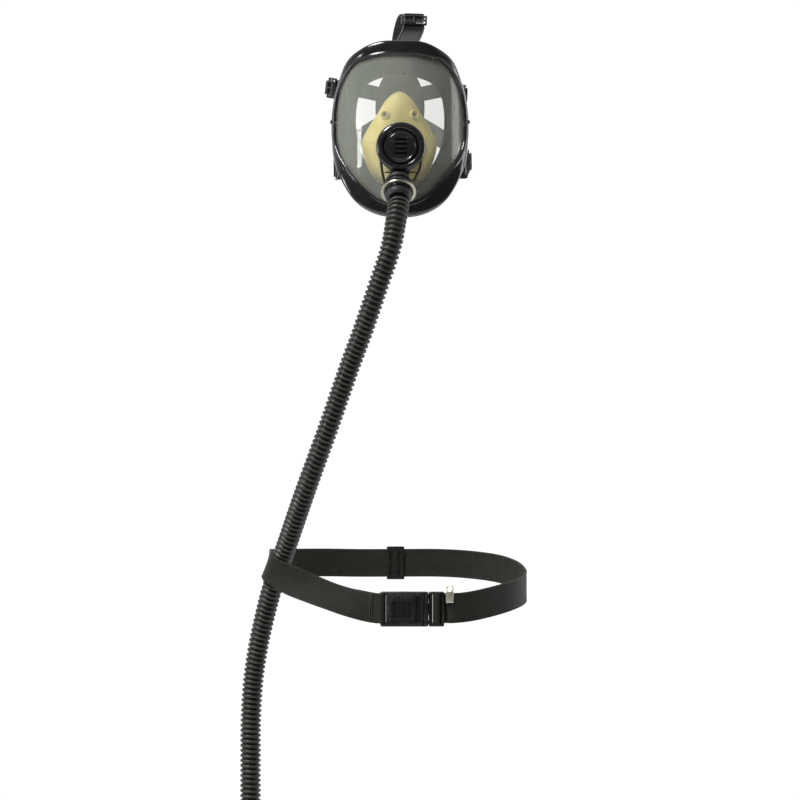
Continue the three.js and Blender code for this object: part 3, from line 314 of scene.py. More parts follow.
def cuff_profile():
    """A cuff with three grip beads, from its free end at 0 to where the hose comes out."""
    profile = [(BORE_R, 0), (CUFF_R - 0.001, 0), (CUFF_R, 0.001)]
    for bead in range(3):
        start = 0.0016 + bead * 0.0018
        profile += [(CUFF_R, start), (CUFF_R + 0.0005, start + 0.0005), (CUFF_R, start + 0.001)]
    return profile + [(CUFF_R, CUFF_LENGTH - 0.003), (HOSE_R + 0.0006, CUFF_LENGTH), (BORE_R, CUFF_LENGTH)]


hose_end = Vector(HOSE_ROUTE[-1])
UP = Vector((0, 0, 1))
DOWN = -UP
cuff_top = turned(
    "cuff_at_mask", cuff_profile(), INLET + INLET_AXIS * (2 * FIT + NUT_LENGTH), INLET_AXIS,
    ROOT, "hose_cuff_top", material=rubber_black,
)
cuff_end = turned(
    "cuff_at_connector", cuff_profile(), hose_end + DOWN * (FIT + CUFF_LENGTH), UP,
    ROOT, "hose_cuff_end", material=rubber_black,
)
for cuff in (cuff_top, cuff_end):
    soften(cuff, 0.0003)

SPIGOT_R = HOSE_R + 0.0025
CONNECTOR_LENGTH = 0.034
ORING_AT = CONNECTOR_LENGTH - 0.005
connector_at = hose_end + DOWN * (2 * FIT + CUFF_LENGTH)
SPIGOT_BORE_R = BORE_R - 0.001
connector = turned(
    "end_spigot",
    [
        (SPIGOT_BORE_R, 0), (SPIGOT_R, 0), (SPIGOT_R, 0.004), (SPIGOT_R + 0.0025, 0.004),
        (SPIGOT_R + 0.0025, 0.007), (SPIGOT_R, 0.007), (SPIGOT_R, ORING_AT), (SPIGOT_R - 0.0014, ORING_AT),
        (SPIGOT_R - 0.0014, ORING_AT + 0.0026), (SPIGOT_R, ORING_AT + 0.0026),
        (SPIGOT_R - 0.0008, CONNECTOR_LENGTH), (SPIGOT_BORE_R, CONNECTOR_LENGTH),
    ],
    connector_at, DOWN, ROOT, "end_connector", material=black_plastic,
)
soften(connector, 0.0003)
ORING_R = 0.00085
oring_ring = SPIGOT_R - 0.0014 + ORING_R + 0.0001
oring = turned(
    "spigot_oring",
    [
        (oring_ring + ORING_R * math.cos(a), ORING_AT + 0.0013 + ORING_R * math.sin(a))
        for a in (math.tau * i / 12 for i in range(12))
    ],
    connector_at, DOWN, ROOT, "connector_oring", material=rubber_black, sharp=180,
)

# The bayonet collar has grip flutes all round.
COLLAR_IN_R = SPIGOT_R + 0.0005
COLLAR_OUT_R = COLLAR_IN_R + 0.004
COLLAR_FROM = 0.0075
COLLAR_LENGTH = 0.015
bm = bmesh.new()
spin_round(
    bm,
    [
        (COLLAR_IN_R, COLLAR_FROM), (COLLAR_OUT_R - 0.001, COLLAR_FROM), (COLLAR_OUT_R, COLLAR_FROM + 0.001),
        (COLLAR_OUT_R, COLLAR_FROM + 0.003), (COLLAR_OUT_R, COLLAR_FROM + COLLAR_LENGTH - 0.003),
        (COLLAR_OUT_R, COLLAR_FROM + COLLAR_LENGTH - 0.001),
        (COLLAR_OUT_R - 0.001, COLLAR_FROM + COLLAR_LENGTH), (COLLAR_IN_R, COLLAR_FROM + COLLAR_LENGTH),
    ],
    steps=96,
)
tidy_normals(bm)
grip_faces = [
    f for f in bm.faces
    if math.hypot(*f.calc_center_median().xy) > COLLAR_OUT_R - 0.0002
    and COLLAR_FROM + 0.003 < f.calc_center_median().z < COLLAR_FROM + COLLAR_LENGTH - 0.003
    and int(math.atan2(f.calc_center_median().y, f.calc_center_median().x) / math.tau * 96 + 96) % 4 < 2
]
bmesh.ops.inset_individual(bm, faces=grip_faces, thickness=0.0002, depth=-0.0006)
bmesh.ops.transform(bm, matrix=along(connector_at, DOWN), verts=bm.verts)
collar = finished("bayonet_collar", bm, "collar", "connector_collar")
collar.data.materials.append(black_plastic)
soften(collar, 0.0002)

# ---- coupling nut ----
# A black moulded nut with grip flutes, and a thin metal ring sprung on its edge, screws the hose to the port.
NUT_R = 0.022
bm = bmesh.new()
spin_round(
    bm,
    [
        (BORE_R, 0), (NUT_R - 0.001, 0), (NUT_R, 0.001), (NUT_R, NUT_LENGTH * 0.5),
        (NUT_R - 0.0035, NUT_LENGTH * 0.62), (CUFF_R + 0.001, NUT_LENGTH), (BORE_R, NUT_LENGTH),
    ],
    steps=96,
)
tidy_normals(bm)
flutes = [
    f for f in bm.faces
    if math.hypot(*f.calc_center_median().xy) > NUT_R - 0.0002
    and int(math.atan2(f.calc_center_median().y, f.calc_center_median().x) / math.tau * 96 + 96) % 6 < 3
]
bmesh.ops.inset_region(bm, faces=flutes, thickness=0.0002, depth=-0.0007)
bmesh.ops.transform(bm, matrix=along(INLET + INLET_AXIS * FIT, INLET_AXIS), verts=bm.verts)
nut = finished("port_nut", bm, "nut", "coupling_nut")
soften(nut, 0.00025)
gloss_black = moulded(
    "gloss_black", (0.006, 0.006, 0.007), (0.013, 0.013, 0.014), (0.1, 0.22), 700, 0.00006,
    worn=(0.05, 0.05, 0.05), Coat_Weight=0.4, Coat_Roughness=0.06,
)
nut.data.materials.append(gloss_black)


def satin_metal():
    """Satin metal with a fine brushed line round it and a faint olive cast."""
    material, tree, shader = new_material("satin_metal", Metallic=1.0)
    place = add_node(tree, "TexCoord").outputs["Object"]
    stretch = add_node(tree, "Mapping", {"Vector": place, "Scale": (1, 1, 14)}).outputs[0]
    lines = add_node(tree, "TexNoise", {"Vector": stretch, "Scale": 500, "Detail": 3}).outputs["Fac"]
    colour = mix_colours(tree, spread(tree, lines, 0, 1), (0.34, 0.32, 0.24, 1), (0.62, 0.6, 0.5, 1))
    tree.links.new(colour, shader.inputs["Base Color"])
    tree.links.new(spread(tree, lines, 0.2, 0.36), shader.inputs["Roughness"])
    bump = add_node(tree, "Bump", {"Height": lines, "Distance": 0.0001, "Strength": 0.3})
    tree.links.new(bump.outputs["Normal"], shader.inputs["Normal"])
    return material


steel = satin_metal()
ring = turned(
    "port_nut_ring",
    [
        (NUT_R - 0.0034, 0.0052), (NUT_R - 0.0006, 0.0046), (NUT_R + 0.0004, 0.0052),
        (NUT_R + 0.0002, 0.0064), (NUT_R - 0.0012, 0.0068), (NUT_R - 0.0034, 0.0064),
    ],
    INLET + INLET_AXIS * FIT, INLET_AXIS, "nut", material=steel, sharp=60,
)

# ---- lens, clamp and face piece ----
# The lens is one moulded sheet curved about the face. Two half bands clamp it to the rubber face
# piece, which folds back round them to a soft sealing lip.
MASK_HALF_WIDTH = 0.084
MASK_HEIGHT = 0.222
MASK_BOTTOM = -0.1485
LENS_FRONT = -0.112
LENS_RADIUS = MASK_HALF_WIDTH + 0.006
LENS_FOREMOST = MASK_BOTTOM + 0.534 * MASK_HEIGHT
LENS_FALL = 1.6  # how fast the lens falls back above and below its foremost height
LENS_THICKNESS = 0.002
BAND = 0.015
SEAT_GAP = 0.0009
STATIONS = 132
# Half of each outline from the top to the chin, as shares of the half width and height: the clamp's
# outer edge, the lens's visible edge, and the sealing lip with its depth.
OUTLINE = [
    ((0, 1), (0, 0.921), (0, 0.809, -0.086)),
    ((0.393, 0.99), (0.369, 0.913), (0.29, 0.8, -0.084)),
    ((0.75, 0.908), (0.655, 0.877), (0.53, 0.76, -0.076)),
    ((0.885, 0.79), (0.857, 0.764), (0.645, 0.69, -0.068)),
    ((0.964, 0.68), (0.935, 0.66), (0.68, 0.615, -0.063)),
    ((1, 0.56), (0.956, 0.556), (0.685, 0.543, -0.06)),
    ((0.99, 0.444), (0.952, 0.457), (0.667, 0.462, -0.058)),
    ((0.97, 0.345), (0.899, 0.376), (0.61, 0.39, -0.057)),
    ((0.885, 0.22), (0.774, 0.282), (0.5, 0.31, -0.058)),
    ((0.68, 0.095), (0.56, 0.178), (0.34, 0.24, -0.061)),
    ((0.385, 0.024), (0.298, 0.097), (0.17, 0.195, -0.064)),
    ((0, 0), (0, 0.072), (0, 0.18, -0.065)),
]
OUTLINE_ROWS = 2 * (len(OUTLINE) - 1)
mask_middle = MASK_BOTTOM + MASK_HEIGHT / 2


def whole_outline(which):
    half = [
        Vector((row[which][0] * MASK_HALF_WIDTH, row[which][2] if which == 2 else 0,
                MASK_BOTTOM + row[which][1] * MASK_HEIGHT))
        for row in OUTLINE
    ]
    return half + [Vector((-p.x, p.y, p.z)) for p in half[-2:0:-1]]


clamp_line, lens_line, lip_line = [whole_outline(which) for which in range(3)]


def lens_depth(x, z):
    return LENS_FRONT + LENS_FALL * (z - LENS_FOREMOST) ** 2 + LENS_RADIUS - math.sqrt(LENS_RADIUS**2 - x**2)


def edge_points(share):
    """The lens edge and the clamp's outer edge at a share of the way round."""
    lens = route_point(lens_line, share, closed=True)
    clamp = route_point(clamp_line, share, closed=True)
    lens.y = lens_depth(lens.x, lens.z)
    seen = math.hypot(clamp.x - lens.x, clamp.z - lens.z)
    clamp.y = lens.y + math.sqrt(max(BAND**2 - seen**2, 9e-6))
    return lens, clamp


class Station:
    """One place round the mask's outline, with its directions along, across and out of the band."""

    def __init__(self, share):
        self.lens, self.clamp = edge_points(share)
        self.lip = route_point(lip_line, share, closed=True)
        self.tangent = (edge_points(share + 0.004)[1] - edge_points(share - 0.004)[1]).normalized()
        self.across = self.clamp - self.lens
        self.band = self.across.length
        self.across.normalize()
        self.normal = self.across.cross(self.tangent).normalized()
        if self.normal.dot(self.lens) - self.normal.z * mask_middle < 0:
            self.normal.negate()

    def place(self, across, out):
        return self.lens + self.across * across + self.normal * out


stations = [Station(i / STATIONS) for i in range(STATIONS)]


def skin(bm, rows, rows_close=False, ends=True):
    """A loop of points extruded from row to row. The rows close on themselves, or the ends are filled."""
    order = bm.verts.layers.int.get("order") or bm.verts.layers.int.new("order")
    first = [bm.verts.new(p) for p in rows[0]]
    for i, vert in enumerate(first):
        vert[order] = i
    edges = [bm.edges.new(pair) for pair in zip(first, first[1:] + first[:1])]
    if ends and not rows_close:
        bmesh.ops.contextual_create(bm, geom=edges)
    made_verts = list(first)
    for row in [*rows[1:], *([rows[0]] if rows_close else [])]:
        made = bmesh.ops.extrude_edge_only(bm, edges=edges)["geom"]
        edges = [g for g in made if isinstance(g, bmesh.types.BMEdge)]
        verts = [g for g in made if isinstance(g, bmesh.types.BMVert)]
        for vert in verts:
            vert.co = row[vert[order]]
        made_verts += verts
    if ends and not rows_close:
        bmesh.ops.contextual_create(bm, geom=edges)
    bmesh.ops.remove_doubles(bm, verts=made_verts, dist=1e-6)
    return made_verts


UNIT = Vector((0.001, 0, -0.064))
UNIT_TUBE_R = 0.0242
lens_rows = [0, 0.05, 0.14, 0.24, 0.35, 0.46, 0.57, 0.68, 0.78, 0.87, 0.94, 1]


def lens_section(s):
    angle = math.atan2(s.lens.z - UNIT.z, s.lens.x - UNIT.x)
    hole = UNIT_TUBE_R + FIT
    inner = Vector((UNIT.x + hole * math.cos(angle), 0, UNIT.z + hole * math.sin(angle)))
    back, front = [], []
    for share in lens_rows:
        p = inner.lerp(s.lens, share)
        p.y = lens_depth(p.x, p.z)
        slope = p.x / math.sqrt(LENS_RADIUS**2 - p.x**2)
        normal = -Vector((-slope, 1, -2 * LENS_FALL * (p.z - LENS_FOREMOST))).normalized()
        if share == 1:
            normal = s.normal
        back.append(p)
        front.append(p + normal * LENS_THICKNESS)
    back.append(s.place(0.004, 0))
    front.append(s.place(0.004, LENS_THICKNESS))
    return front + back[::-1]


def clear_lens():
    """Clear moulded plastic with a faint grey-green cast, a soft bloom and wiping smears."""
    material, tree, shader = new_material(
        "clear_lens", Alpha=0.19, IOR=1.5, Coat_Weight=1.0, Coat_Roughness=0.03, Specular_IOR_Level=0.9,
    )
    smears = add_node(tree, "TexNoise", {
        "Vector": add_node(tree, "Mapping", {
            "Vector": add_node(tree, "TexCoord").outputs["Object"], "Scale": (3, 3, 1), "Rotation": (0, 0.5, 0),
        }).outputs[0],
        "Scale": 12, "Detail": 2,
    }).outputs["Fac"]
    colour = mix_colours(tree, spread(tree, smears, 0, 1), (0.54, 0.58, 0.49, 1), (0.66, 0.7, 0.6, 1))
    tree.links.new(colour, shader.inputs["Base Color"])
    tree.links.new(spread(tree, smears, 0.03, 0.1), shader.inputs["Roughness"])
    return material


bm = bmesh.new()
skin(bm, [lens_section(s) for s in stations], rows_close=True)
tidy_normals(bm)
lens = finished("face_lens", bm, ROOT, "lens", sharp=50)
lens.data.materials.append(clear_lens())


def clamp_section(s):
    """The half band: a raised inner bead, a shallow trough, and a rounded outer wall."""
    seat = LENS_THICKNESS + SEAT_GAP
    top = seat + 0.0033
    w = s.band
    return [s.place(a, n) for a, n in (
        (0.0003, seat), (0.0002, seat + 0.0012), (0.0006, top - 0.0008), (0.0014, top - 0.0002),
        (0.0026, top - 0.0002), (0.0034, top - 0.0009), (0.0045, top - 0.0009), (0.4 * w, top - 0.0002),
        (0.6 * w, top), (w - 0.0028, top - 0.0002), (w - 0.0010, top - 0.0007), (w + 0.0003, top - 0.0017),
        (w + 0.0008, top - 0.003), (w + 0.0008, seat - 0.006), (w - 0.001, seat - 0.006), (w - 0.001, seat),
    )]


SPLIT = 5 / OUTLINE_ROWS
SPLIT_GAP = 0.0004
for name, start, end in (("upper", -SPLIT, SPLIT), ("lower", SPLIT, 1 - SPLIT)):
    count = round((end - start) * STATIONS)
    shares = [start + SPLIT_GAP + (end - start - 2 * SPLIT_GAP) * i / count for i in range(count + 1)]
    bm = bmesh.new()
    skin(bm, [clamp_section(Station(share)) for share in shares])
    tidy_normals(bm)
    band = finished(f"clamp_band_{name}", bm, ROOT, f"rim_{name}", sharp=50)
    band.data.materials.append(gloss_black)

SKIRT_WALL = 0.0022
SKIRT_STEPS = 30


def skirt_section(s):
    w = s.band
    low = -SEAT_GAP - SKIRT_WALL / 2
    keys = [
        s.place(0.0015, low), s.place(w - 0.005, low), s.place(w - 0.0032, low - 0.0032),
        s.clamp - s.normal * 0.0075 + Vector((0, 0.008, 0)),
        s.clamp - s.normal * 0.0015 + Vector((0, 0.02, 0)),
        s.clamp.lerp(s.lip, 0.35) + Vector((0, 0.024, 0)),
        s.lip,
    ]
    left, right = [], []
    for i in range(SKIRT_STEPS + 1):
        share = i / SKIRT_STEPS
        here = route_point(keys, share)
        way = route_point(keys, min(share + 0.01, 1)) - route_point(keys, max(share - 0.01, 0))
        side = way.cross(s.tangent).normalized()
        wall = SKIRT_WALL * (1 if share < 0.8 else 1 - 2 * (share - 0.8))
        left.append(here + side * wall / 2)
        right.append(here - side * wall / 2)
    return left + right[::-1]


face_rubber = moulded(
    "face_rubber", (0.01, 0.01, 0.011), (0.018, 0.018, 0.019), (0.2, 0.38), 1300, 0.0001,
    Specular_IOR_Level=0.6,
)
bm = bmesh.new()
skin(bm, [skirt_section(s) for s in stations], rows_close=True)
tidy_normals(bm)
skirt = finished("face_piece", bm, ROOT, "facepiece_skirt", sharp=60)
skirt.data.materials.append(face_rubber)

# ---- head harness ----
# Five rubber straps with moulded edge beads run from the face piece's tabs over the head to a crown
# pad. Each passes through a three-bar slide with a ribbed cam lever that grips it.
SLIDE_LENGTH = 0.016
SLIDE_BAR = 0.0026
TAB_THICKNESS = 0.003
# Where each tab leaves the outline, its reach, the strap's direction and outer side, and its width.
TABS = {
    "top": (0.25, (0.01, 0.04, 0.037), (0.04, 0.56, 0.83), (0, -0.83, 0.56), 0.027),
    "temple_left": (3.7, (0.006, 0.017, 0.006), (-0.1, 1, 0.12), (1, 0.1, 0), 0.02),
    "temple_right": (18.4, (-0.012, 0.012, 0.012), (-0.62, 0.76, 0.2), (-0.76, -0.62, 0), 0.02),
    "cheek_left": (6.9, (0.0086, 0.0205, -0.002), (0.1, 0.97, 0.2), (1, -0.1, 0), 0.024),
    "cheek_right": (14.7, (-0.004, 0.022, 0), (0.05, 0.97, 0.2), (-1, 0.05, 0), 0.024),
}


def beaded_section(at, across, up, width, thickness, bead):
    """A strap's section: flat below, with a rounded raised bead along each edge above."""
    half = width / 2
    shape = [
        (-half, -0.3), (-half, 0.4), (-half + 0.0008, 0.5 + bead), (-half + 0.0022, 0.5 + bead),
        (-half + 0.003, 0.5), (0, 0.5), (half - 0.003, 0.5), (half - 0.0022, 0.5 + bead),
        (half - 0.0008, 0.5 + bead), (half, 0.4), (half, -0.3), (half - 0.0006, -0.5),
        (0, -0.5), (-half + 0.0006, -0.5),
    ]
    return [at + across * w + up * (t * thickness) for w, t in shape]


def strap_rubber():
    material, tree, shader = new_material("strap_rubber", Specular_IOR_Level=0.5)
    patches = object_noise(tree, 70)
    colour = mix_colours(tree, spread(tree, patches, 0, 1), (0.012, 0.012, 0.012, 1), (0.03, 0.03, 0.029, 1))
    tree.links.new(colour, shader.inputs["Base Color"])
    tree.links.new(spread(tree, object_noise(tree, 40), 0.38, 0.55), shader.inputs["Roughness"])
    bump = add_node(tree, "Bump", {"Height": object_noise(tree, 900, 3), "Distance": 0.0003, "Strength": 0.5})
    tree.links.new(bump.outputs["Normal"], shader.inputs["Normal"])
    return material


strap_finish = strap_rubber()


def refined_copy(node):
    """A merged copy of a CAD node's mesh, as quads, that a subdivision can smooth."""
    bm = bmesh.new()
    bm.from_mesh(nodes[node].data)
    bmesh.ops.remove_doubles(bm, verts=bm.verts, dist=1e-6)
    bmesh.ops.join_triangles(bm, faces=bm.faces, angle_face_threshold=1.2, angle_shape_threshold=3.0)
    return bm


def round_bar(bm, way, half, steps=2):
    """A moulded bar along a way, with an oval section."""
    first, last = way[0], way[-1]
    run = (last - first).normalized()
    side = run.cross(Vector((0, 0, 1))).normalized()
    rise = side.cross(run)
    rows = []
    for i in range(steps + 1):
        here = route_point(way, i / steps)
        rows.append([
            here + side * (half[0] * math.cos(a)) + rise * (half[1] * math.sin(a))
            for a in (math.tau * k / 12 for k in range(12))
        ])
    skin(bm, rows)


for name, (row, reach, ahead, out, width) in TABS.items():
    s = Station(row / OUTLINE_ROWS)
    ahead = Vector(ahead).normalized()
    out = (Vector(out) - ahead * Vector(out).dot(ahead)).normalized()
    across = ahead.cross(out).normalized()
    root = s.clamp - s.normal * 0.0015 + Vector((0, 0.019, 0))
    centre = root + Vector(reach)
    end = centre - out * (0.0015 + FIT + TAB_THICKNESS / 2) - ahead * (SLIDE_LENGTH / 2 - SLIDE_BAR - 0.0012)
    flare = {"top": 0.1, "cheek_left": 0.6}.get(name, 0.4)
    if name == "cheek_left":
        root += Vector((0.002, 0.002, -0.007))
    way = [root - out * 0.0015, end - ahead * 0.007, end]
    bm = bmesh.new()
    skin(bm, [
        beaded_section(
            route_point(way, i / 14), across, out, width * (1 + flare * (1 - i / 14)),
            TAB_THICKNESS * (1 + 3 * flare * (1 - i / 14)), 0.3,
        )
        for i in range(15)
    ])
    tidy_normals(bm)
    tab = finished(f"{name}_tab", bm, ROOT, sharp=60)
    tab.data.materials.append(face_rubber)
    soften(tab, 0.0004, segments=2)

    half = width / 2 + 0.0035
    in_place = Matrix((across, ahead, out)).transposed().to_4x4()
    in_place.translation = centre
    bm = bmesh.new()
    for x in (-half + 0.0014, half - 0.0014):
        rail = [Vector((x, y, 0)) for y in (-SLIDE_LENGTH / 2 + 0.0006, SLIDE_LENGTH / 2 - 0.0006)]
        round_bar(bm, rail, (0.0014, 0.0017))
    for y in (-SLIDE_LENGTH / 2 + SLIDE_BAR / 2, 0, SLIDE_LENGTH / 2 - SLIDE_BAR / 2):
        bar = [Vector((x, y, 0)) for x in (-half + 0.001, half - 0.001)]
        round_bar(bm, bar, (0.0012, 0.0013 if y == 0 else 0.0015))
    tidy_normals(bm)
    bmesh.ops.transform(bm, matrix=in_place, verts=bm.verts)
    slide = finished(f"{name}_slide", bm, ROOT, f"{name}_buckle")
    slide.data.materials.append(black_plastic)

    bm = bmesh.new()
    grip = width / 2 - 0.0016
    arm = [Vector((0, y, z)) for y, z in ((-0.0056, 0.0026), (-0.002, 0.0034), (0.0035, 0.0036), (0.0078, 0.0031))]
    for x in (-grip, 0, grip):
        round_bar(bm, [p + Vector((x, 0, 0)) for p in arm], (0.0009, 0.0009), steps=8)
    for y, z, thick in ((-0.0056, 0.0028, 0.0011), (0.0045, 0.0037, 0.001), (0.0075, 0.0034, 0.0012)):
        round_bar(bm, [Vector((x, y, z)) for x in (-grip, grip)], (thick, thick))
    tidy_normals(bm)
    bmesh.ops.transform(bm, matrix=in_place, verts=bm.verts)
    lever = finished(f"{name}_cam_lever", bm, f"{name}_lever_body", f"{name}_lever")
    lever.data.materials.append(black_plastic)

for name in TABS:
    bm = refined_copy(f"{name}_strap")
    wide = [f for f in bm.faces if f.calc_area() > 5e-5]
    bmesh.ops.inset_region(bm, faces=wide, thickness=0.0022, depth=-0.0003)
    strap = finished(f"{name}_head_strap", bm, ROOT, f"{name}_strap", sharp=180)
    smooth = strap.modifiers.new("smooth", "SUBSURF")
    smooth.levels = smooth.render_levels = 2
    strap.data.materials.append(strap_finish)

bm = refined_copy("crown_pad")
pad = finished("crown_head_pad", bm, ROOT, "crown_pad", sharp=180)
smooth = pad.modifiers.new("smooth", "SUBSURF")
smooth.levels = smooth.render_levels = 2
pad.data.materials.append(strap_finish)

black_steel = moulded(
    "black_steel", (0.05, 0.05, 0.05), (0.09, 0.09, 0.088), (0.25, 0.4), 900, 0.00005, Metallic=1.0,
)
for side in ("left", "right"):
    screw = nodes[f"rim_screw_{side}"]
    screw.data.materials.clear()
    screw.data.materials.append(black_steel)

# ---- nose cup ----
# Soft yellow silicone, thin and matte, moulded in one piece round the nose and mouth, with a rolled
# edge and a small check valve on each cheek.
CUP_EDGE = [
    (0, -0.091, 0.01), (0.014, -0.088, 0.002), (0.027, -0.08, -0.017), (0.04, -0.071, -0.036),
    (0.047, -0.067, -0.052), (0.044, -0.067, -0.072), (0.034, -0.069, -0.094), (0.02, -0.071, -0.107),
    (0, -0.072, -0.112),
]
cup_line = [Vector(p) for p in CUP_EDGE] + [Vector((-x, y, z)) for x, y, z in CUP_EDGE[-2:0:-1]]
CUP_FRONT = -0.095
CUP_WALL = 0.002


def cup_point(share, down):
    """A point on the cup's outer surface: share of the way round, and down from the collar to the edge."""
    edge = route_point(cup_line, share, closed=True) + Vector((-0.001, 0, 0))
    angle = math.atan2(edge.z - UNIT.z, edge.x - UNIT.x)
    collar_r = UNIT_TUBE_R + FIT
    front = Vector((UNIT.x + collar_r * math.cos(angle), CUP_FRONT - 0.001, UNIT.z + collar_r * math.sin(angle)))
    middle = front.lerp(edge, 0.78)
    middle.y = CUP_FRONT - 0.002
    return front * (1 - down) ** 2 + middle * (2 * down * (1 - down)) + edge * down**2


def cup_normal(share, down):
    falling = cup_point(share, min(down + 0.02, 1)) - cup_point(share, max(down - 0.02, 0))
    round_it = cup_point(share + 0.01, down) - cup_point(share - 0.01, down)
    normal = round_it.cross(falling).normalized()
    return -normal if normal.y > 0 else normal


def cup_section(share):
    outer, inner = [], []
    for i in range(17):
        down = i / 16
        here, normal = cup_point(share, down), cup_normal(share, down)
        roll = max(0, down - 0.9) * 0.012
        outer.append(here + normal * roll)
        inner.append(here - normal * (CUP_WALL - roll))
    return outer + inner[::-1]


def cup_silicone():
    material, tree, shader = new_material(
        "cup_silicone", Subsurface_Weight=0.15, Subsurface_Scale=0.004, Specular_IOR_Level=0.45,
    )
    shader.inputs["Subsurface Radius"].default_value = (1.0, 0.7, 0.3)
    patches = object_noise(tree, 35, 5)
    colour = mix_colours(tree, spread(tree, patches, 0, 1), (0.78, 0.62, 0.16, 1), (0.93, 0.8, 0.3, 1))
    tree.links.new(colour, shader.inputs["Base Color"])
    tree.links.new(spread(tree, object_noise(tree, 60), 0.36, 0.52), shader.inputs["Roughness"])
    bump = add_node(tree, "Bump", {"Height": object_noise(tree, 1200, 2), "Distance": 0.0001, "Strength": 0.4})
    tree.links.new(bump.outputs["Normal"], shader.inputs["Normal"])
    return material


bm = bmesh.new()
skin(bm, [cup_section(i / 96) for i in range(96)], rows_close=True)
tidy_normals(bm)
cup = finished("nose_cup_shell", bm, ROOT, "nose_cup", sharp=60)
silicone = cup_silicone()
cup.data.materials.append(silicone)

def cut_by(piece, *shapes):
    """Cuts closed bmesh shapes out of a piece for good."""
    cutters = []
    for bm in shapes:
        mesh = bpy.data.meshes.new("cutter")
        bm.to_mesh(mesh)
        bm.free()
        cutter = bpy.data.objects.new("cutter", mesh)
        bpy.context.scene.collection.objects.link(cutter)
        boolean = piece.modifiers.new("cut", "BOOLEAN")
        boolean.object = cutter
        boolean.operation = "DIFFERENCE"
        boolean.solver = "EXACT"
        cutters.append(cutter)
    shape = bpy.data.meshes.new_from_object(piece.evaluated_get(bpy.context.evaluated_depsgraph_get()))
    piece.modifiers.clear()
    piece.data = shape
    shape.name = piece.name
    for cutter in cutters:
        bpy.data.objects.remove(cutter)


CUP_VALVE_R = 0.0074
CUP_VALVES = {"left": 0.102, "right": 0.898}
CUP_VALVE_DOWN = 0.573
seat_bore = CUP_VALVE_R - 0.0016 - FIT - 0.0016
holes = []
for share in CUP_VALVES.values():
    bm = bmesh.new()
    bmesh.ops.create_cone(
        bm, cap_ends=True, segments=48, radius1=seat_bore + 0.0008, radius2=seat_bore + 0.0008, depth=0.012,
        matrix=along(cup_point(share, CUP_VALVE_DOWN), cup_normal(share, CUP_VALVE_DOWN)),
    )
    holes.append(bm)
cut_by(cup, *holes)
for side, share in CUP_VALVES.items():
    at, axis = cup_point(share, CUP_VALVE_DOWN), cup_normal(share, CUP_VALVE_DOWN)
    seat = turned(
        f"cup_valve_boss_{side}",
        [
            (seat_bore, -0.0035), (seat_bore + 0.0016, -0.0035), (seat_bore + 0.0016, 0.0011),
            (CUP_VALVE_R - 0.001, 0.0013), (CUP_VALVE_R - 0.002, 0.0026), (seat_bore + 0.0006, 0.0026),
            (seat_bore, 0.002),
        ],
        at, axis, ROOT, f"cup_valve_seat_{side}", material=silicone, steps=48,
    )
    soften(seat, 0.0003)

# ---- front unit ----
# A round moulded housing clamps through the lens. Its neck runs down, between two thin arms, to the
# threaded port. A glossy bezel and a snap-in cover close the exhaust valve's chamber.
FLANGE_BACK = -0.1155
FLANGE_DEPTH = 0.011
UNIT_R = 0.031
UNIT_BORE_R = 0.0205
FORWARD = Vector((0, -1, 0))
PORT_R = HOSE_R + 0.0015
bm = bmesh.new()
spin_round(
    bm,
    [
        (UNIT_BORE_R, 0), (UNIT_TUBE_R, 0), (UNIT_TUBE_R, 0.0225), (UNIT_R - 0.0016, 0.0225),
        (UNIT_R - 0.0006, 0.0235), (UNIT_R - 0.0006, 0.0325), (UNIT_R - 0.0012, 0.0335), (UNIT_BORE_R, 0.0335),
    ],
    steps=96,
)
bmesh.ops.transform(bm, matrix=along(Vector((UNIT.x, -0.093, UNIT.z)), FORWARD), verts=bm.verts)
spin_round(
    bm,
    [
        (PORT_R - 0.003, -0.016), (PORT_R - 0.001, -0.017), (PORT_R, -0.016), (PORT_R, -0.012),
        (PORT_R + 0.0022, -0.0112), (PORT_R + 0.0022, -0.0092), (PORT_R, -0.0084), (PORT_R, -0.001),
        (PORT_R - 0.0008, 0), (PORT_R - 0.003, 0),
    ],
    steps=64,
)
port_verts = [v for v in bm.verts if abs(v.co.x) < 0.03 and abs(v.co.y) < 0.03 and abs(v.co.z) < 0.03]
bmesh.ops.transform(bm, matrix=along(INLET, INLET_AXIS), verts=port_verts)


def rounded_bar(bm, way, half_wide, half_deep, across, steps=10, squareness=0.6):
    """A bar with rounded edges along a way; its half widths may change from start to end."""
    rows = []
    for i in range(steps + 1):
        share = i / steps
        here = route_point(way, share)
        wide = half_wide[0] + (half_wide[1] - half_wide[0]) * share
        deep = half_deep[0] + (half_deep[1] - half_deep[0]) * share
        row = []
        for k in range(20):
            a = math.tau * k / 20
            c, d = math.cos(a), math.sin(a)
            row.append(
                here + across * (wide * math.copysign(abs(c) ** squareness, c))
                + Vector((0, -deep * math.copysign(abs(d) ** squareness, d), 0))
            )
        rows.append(row)
    return skin(bm, rows)


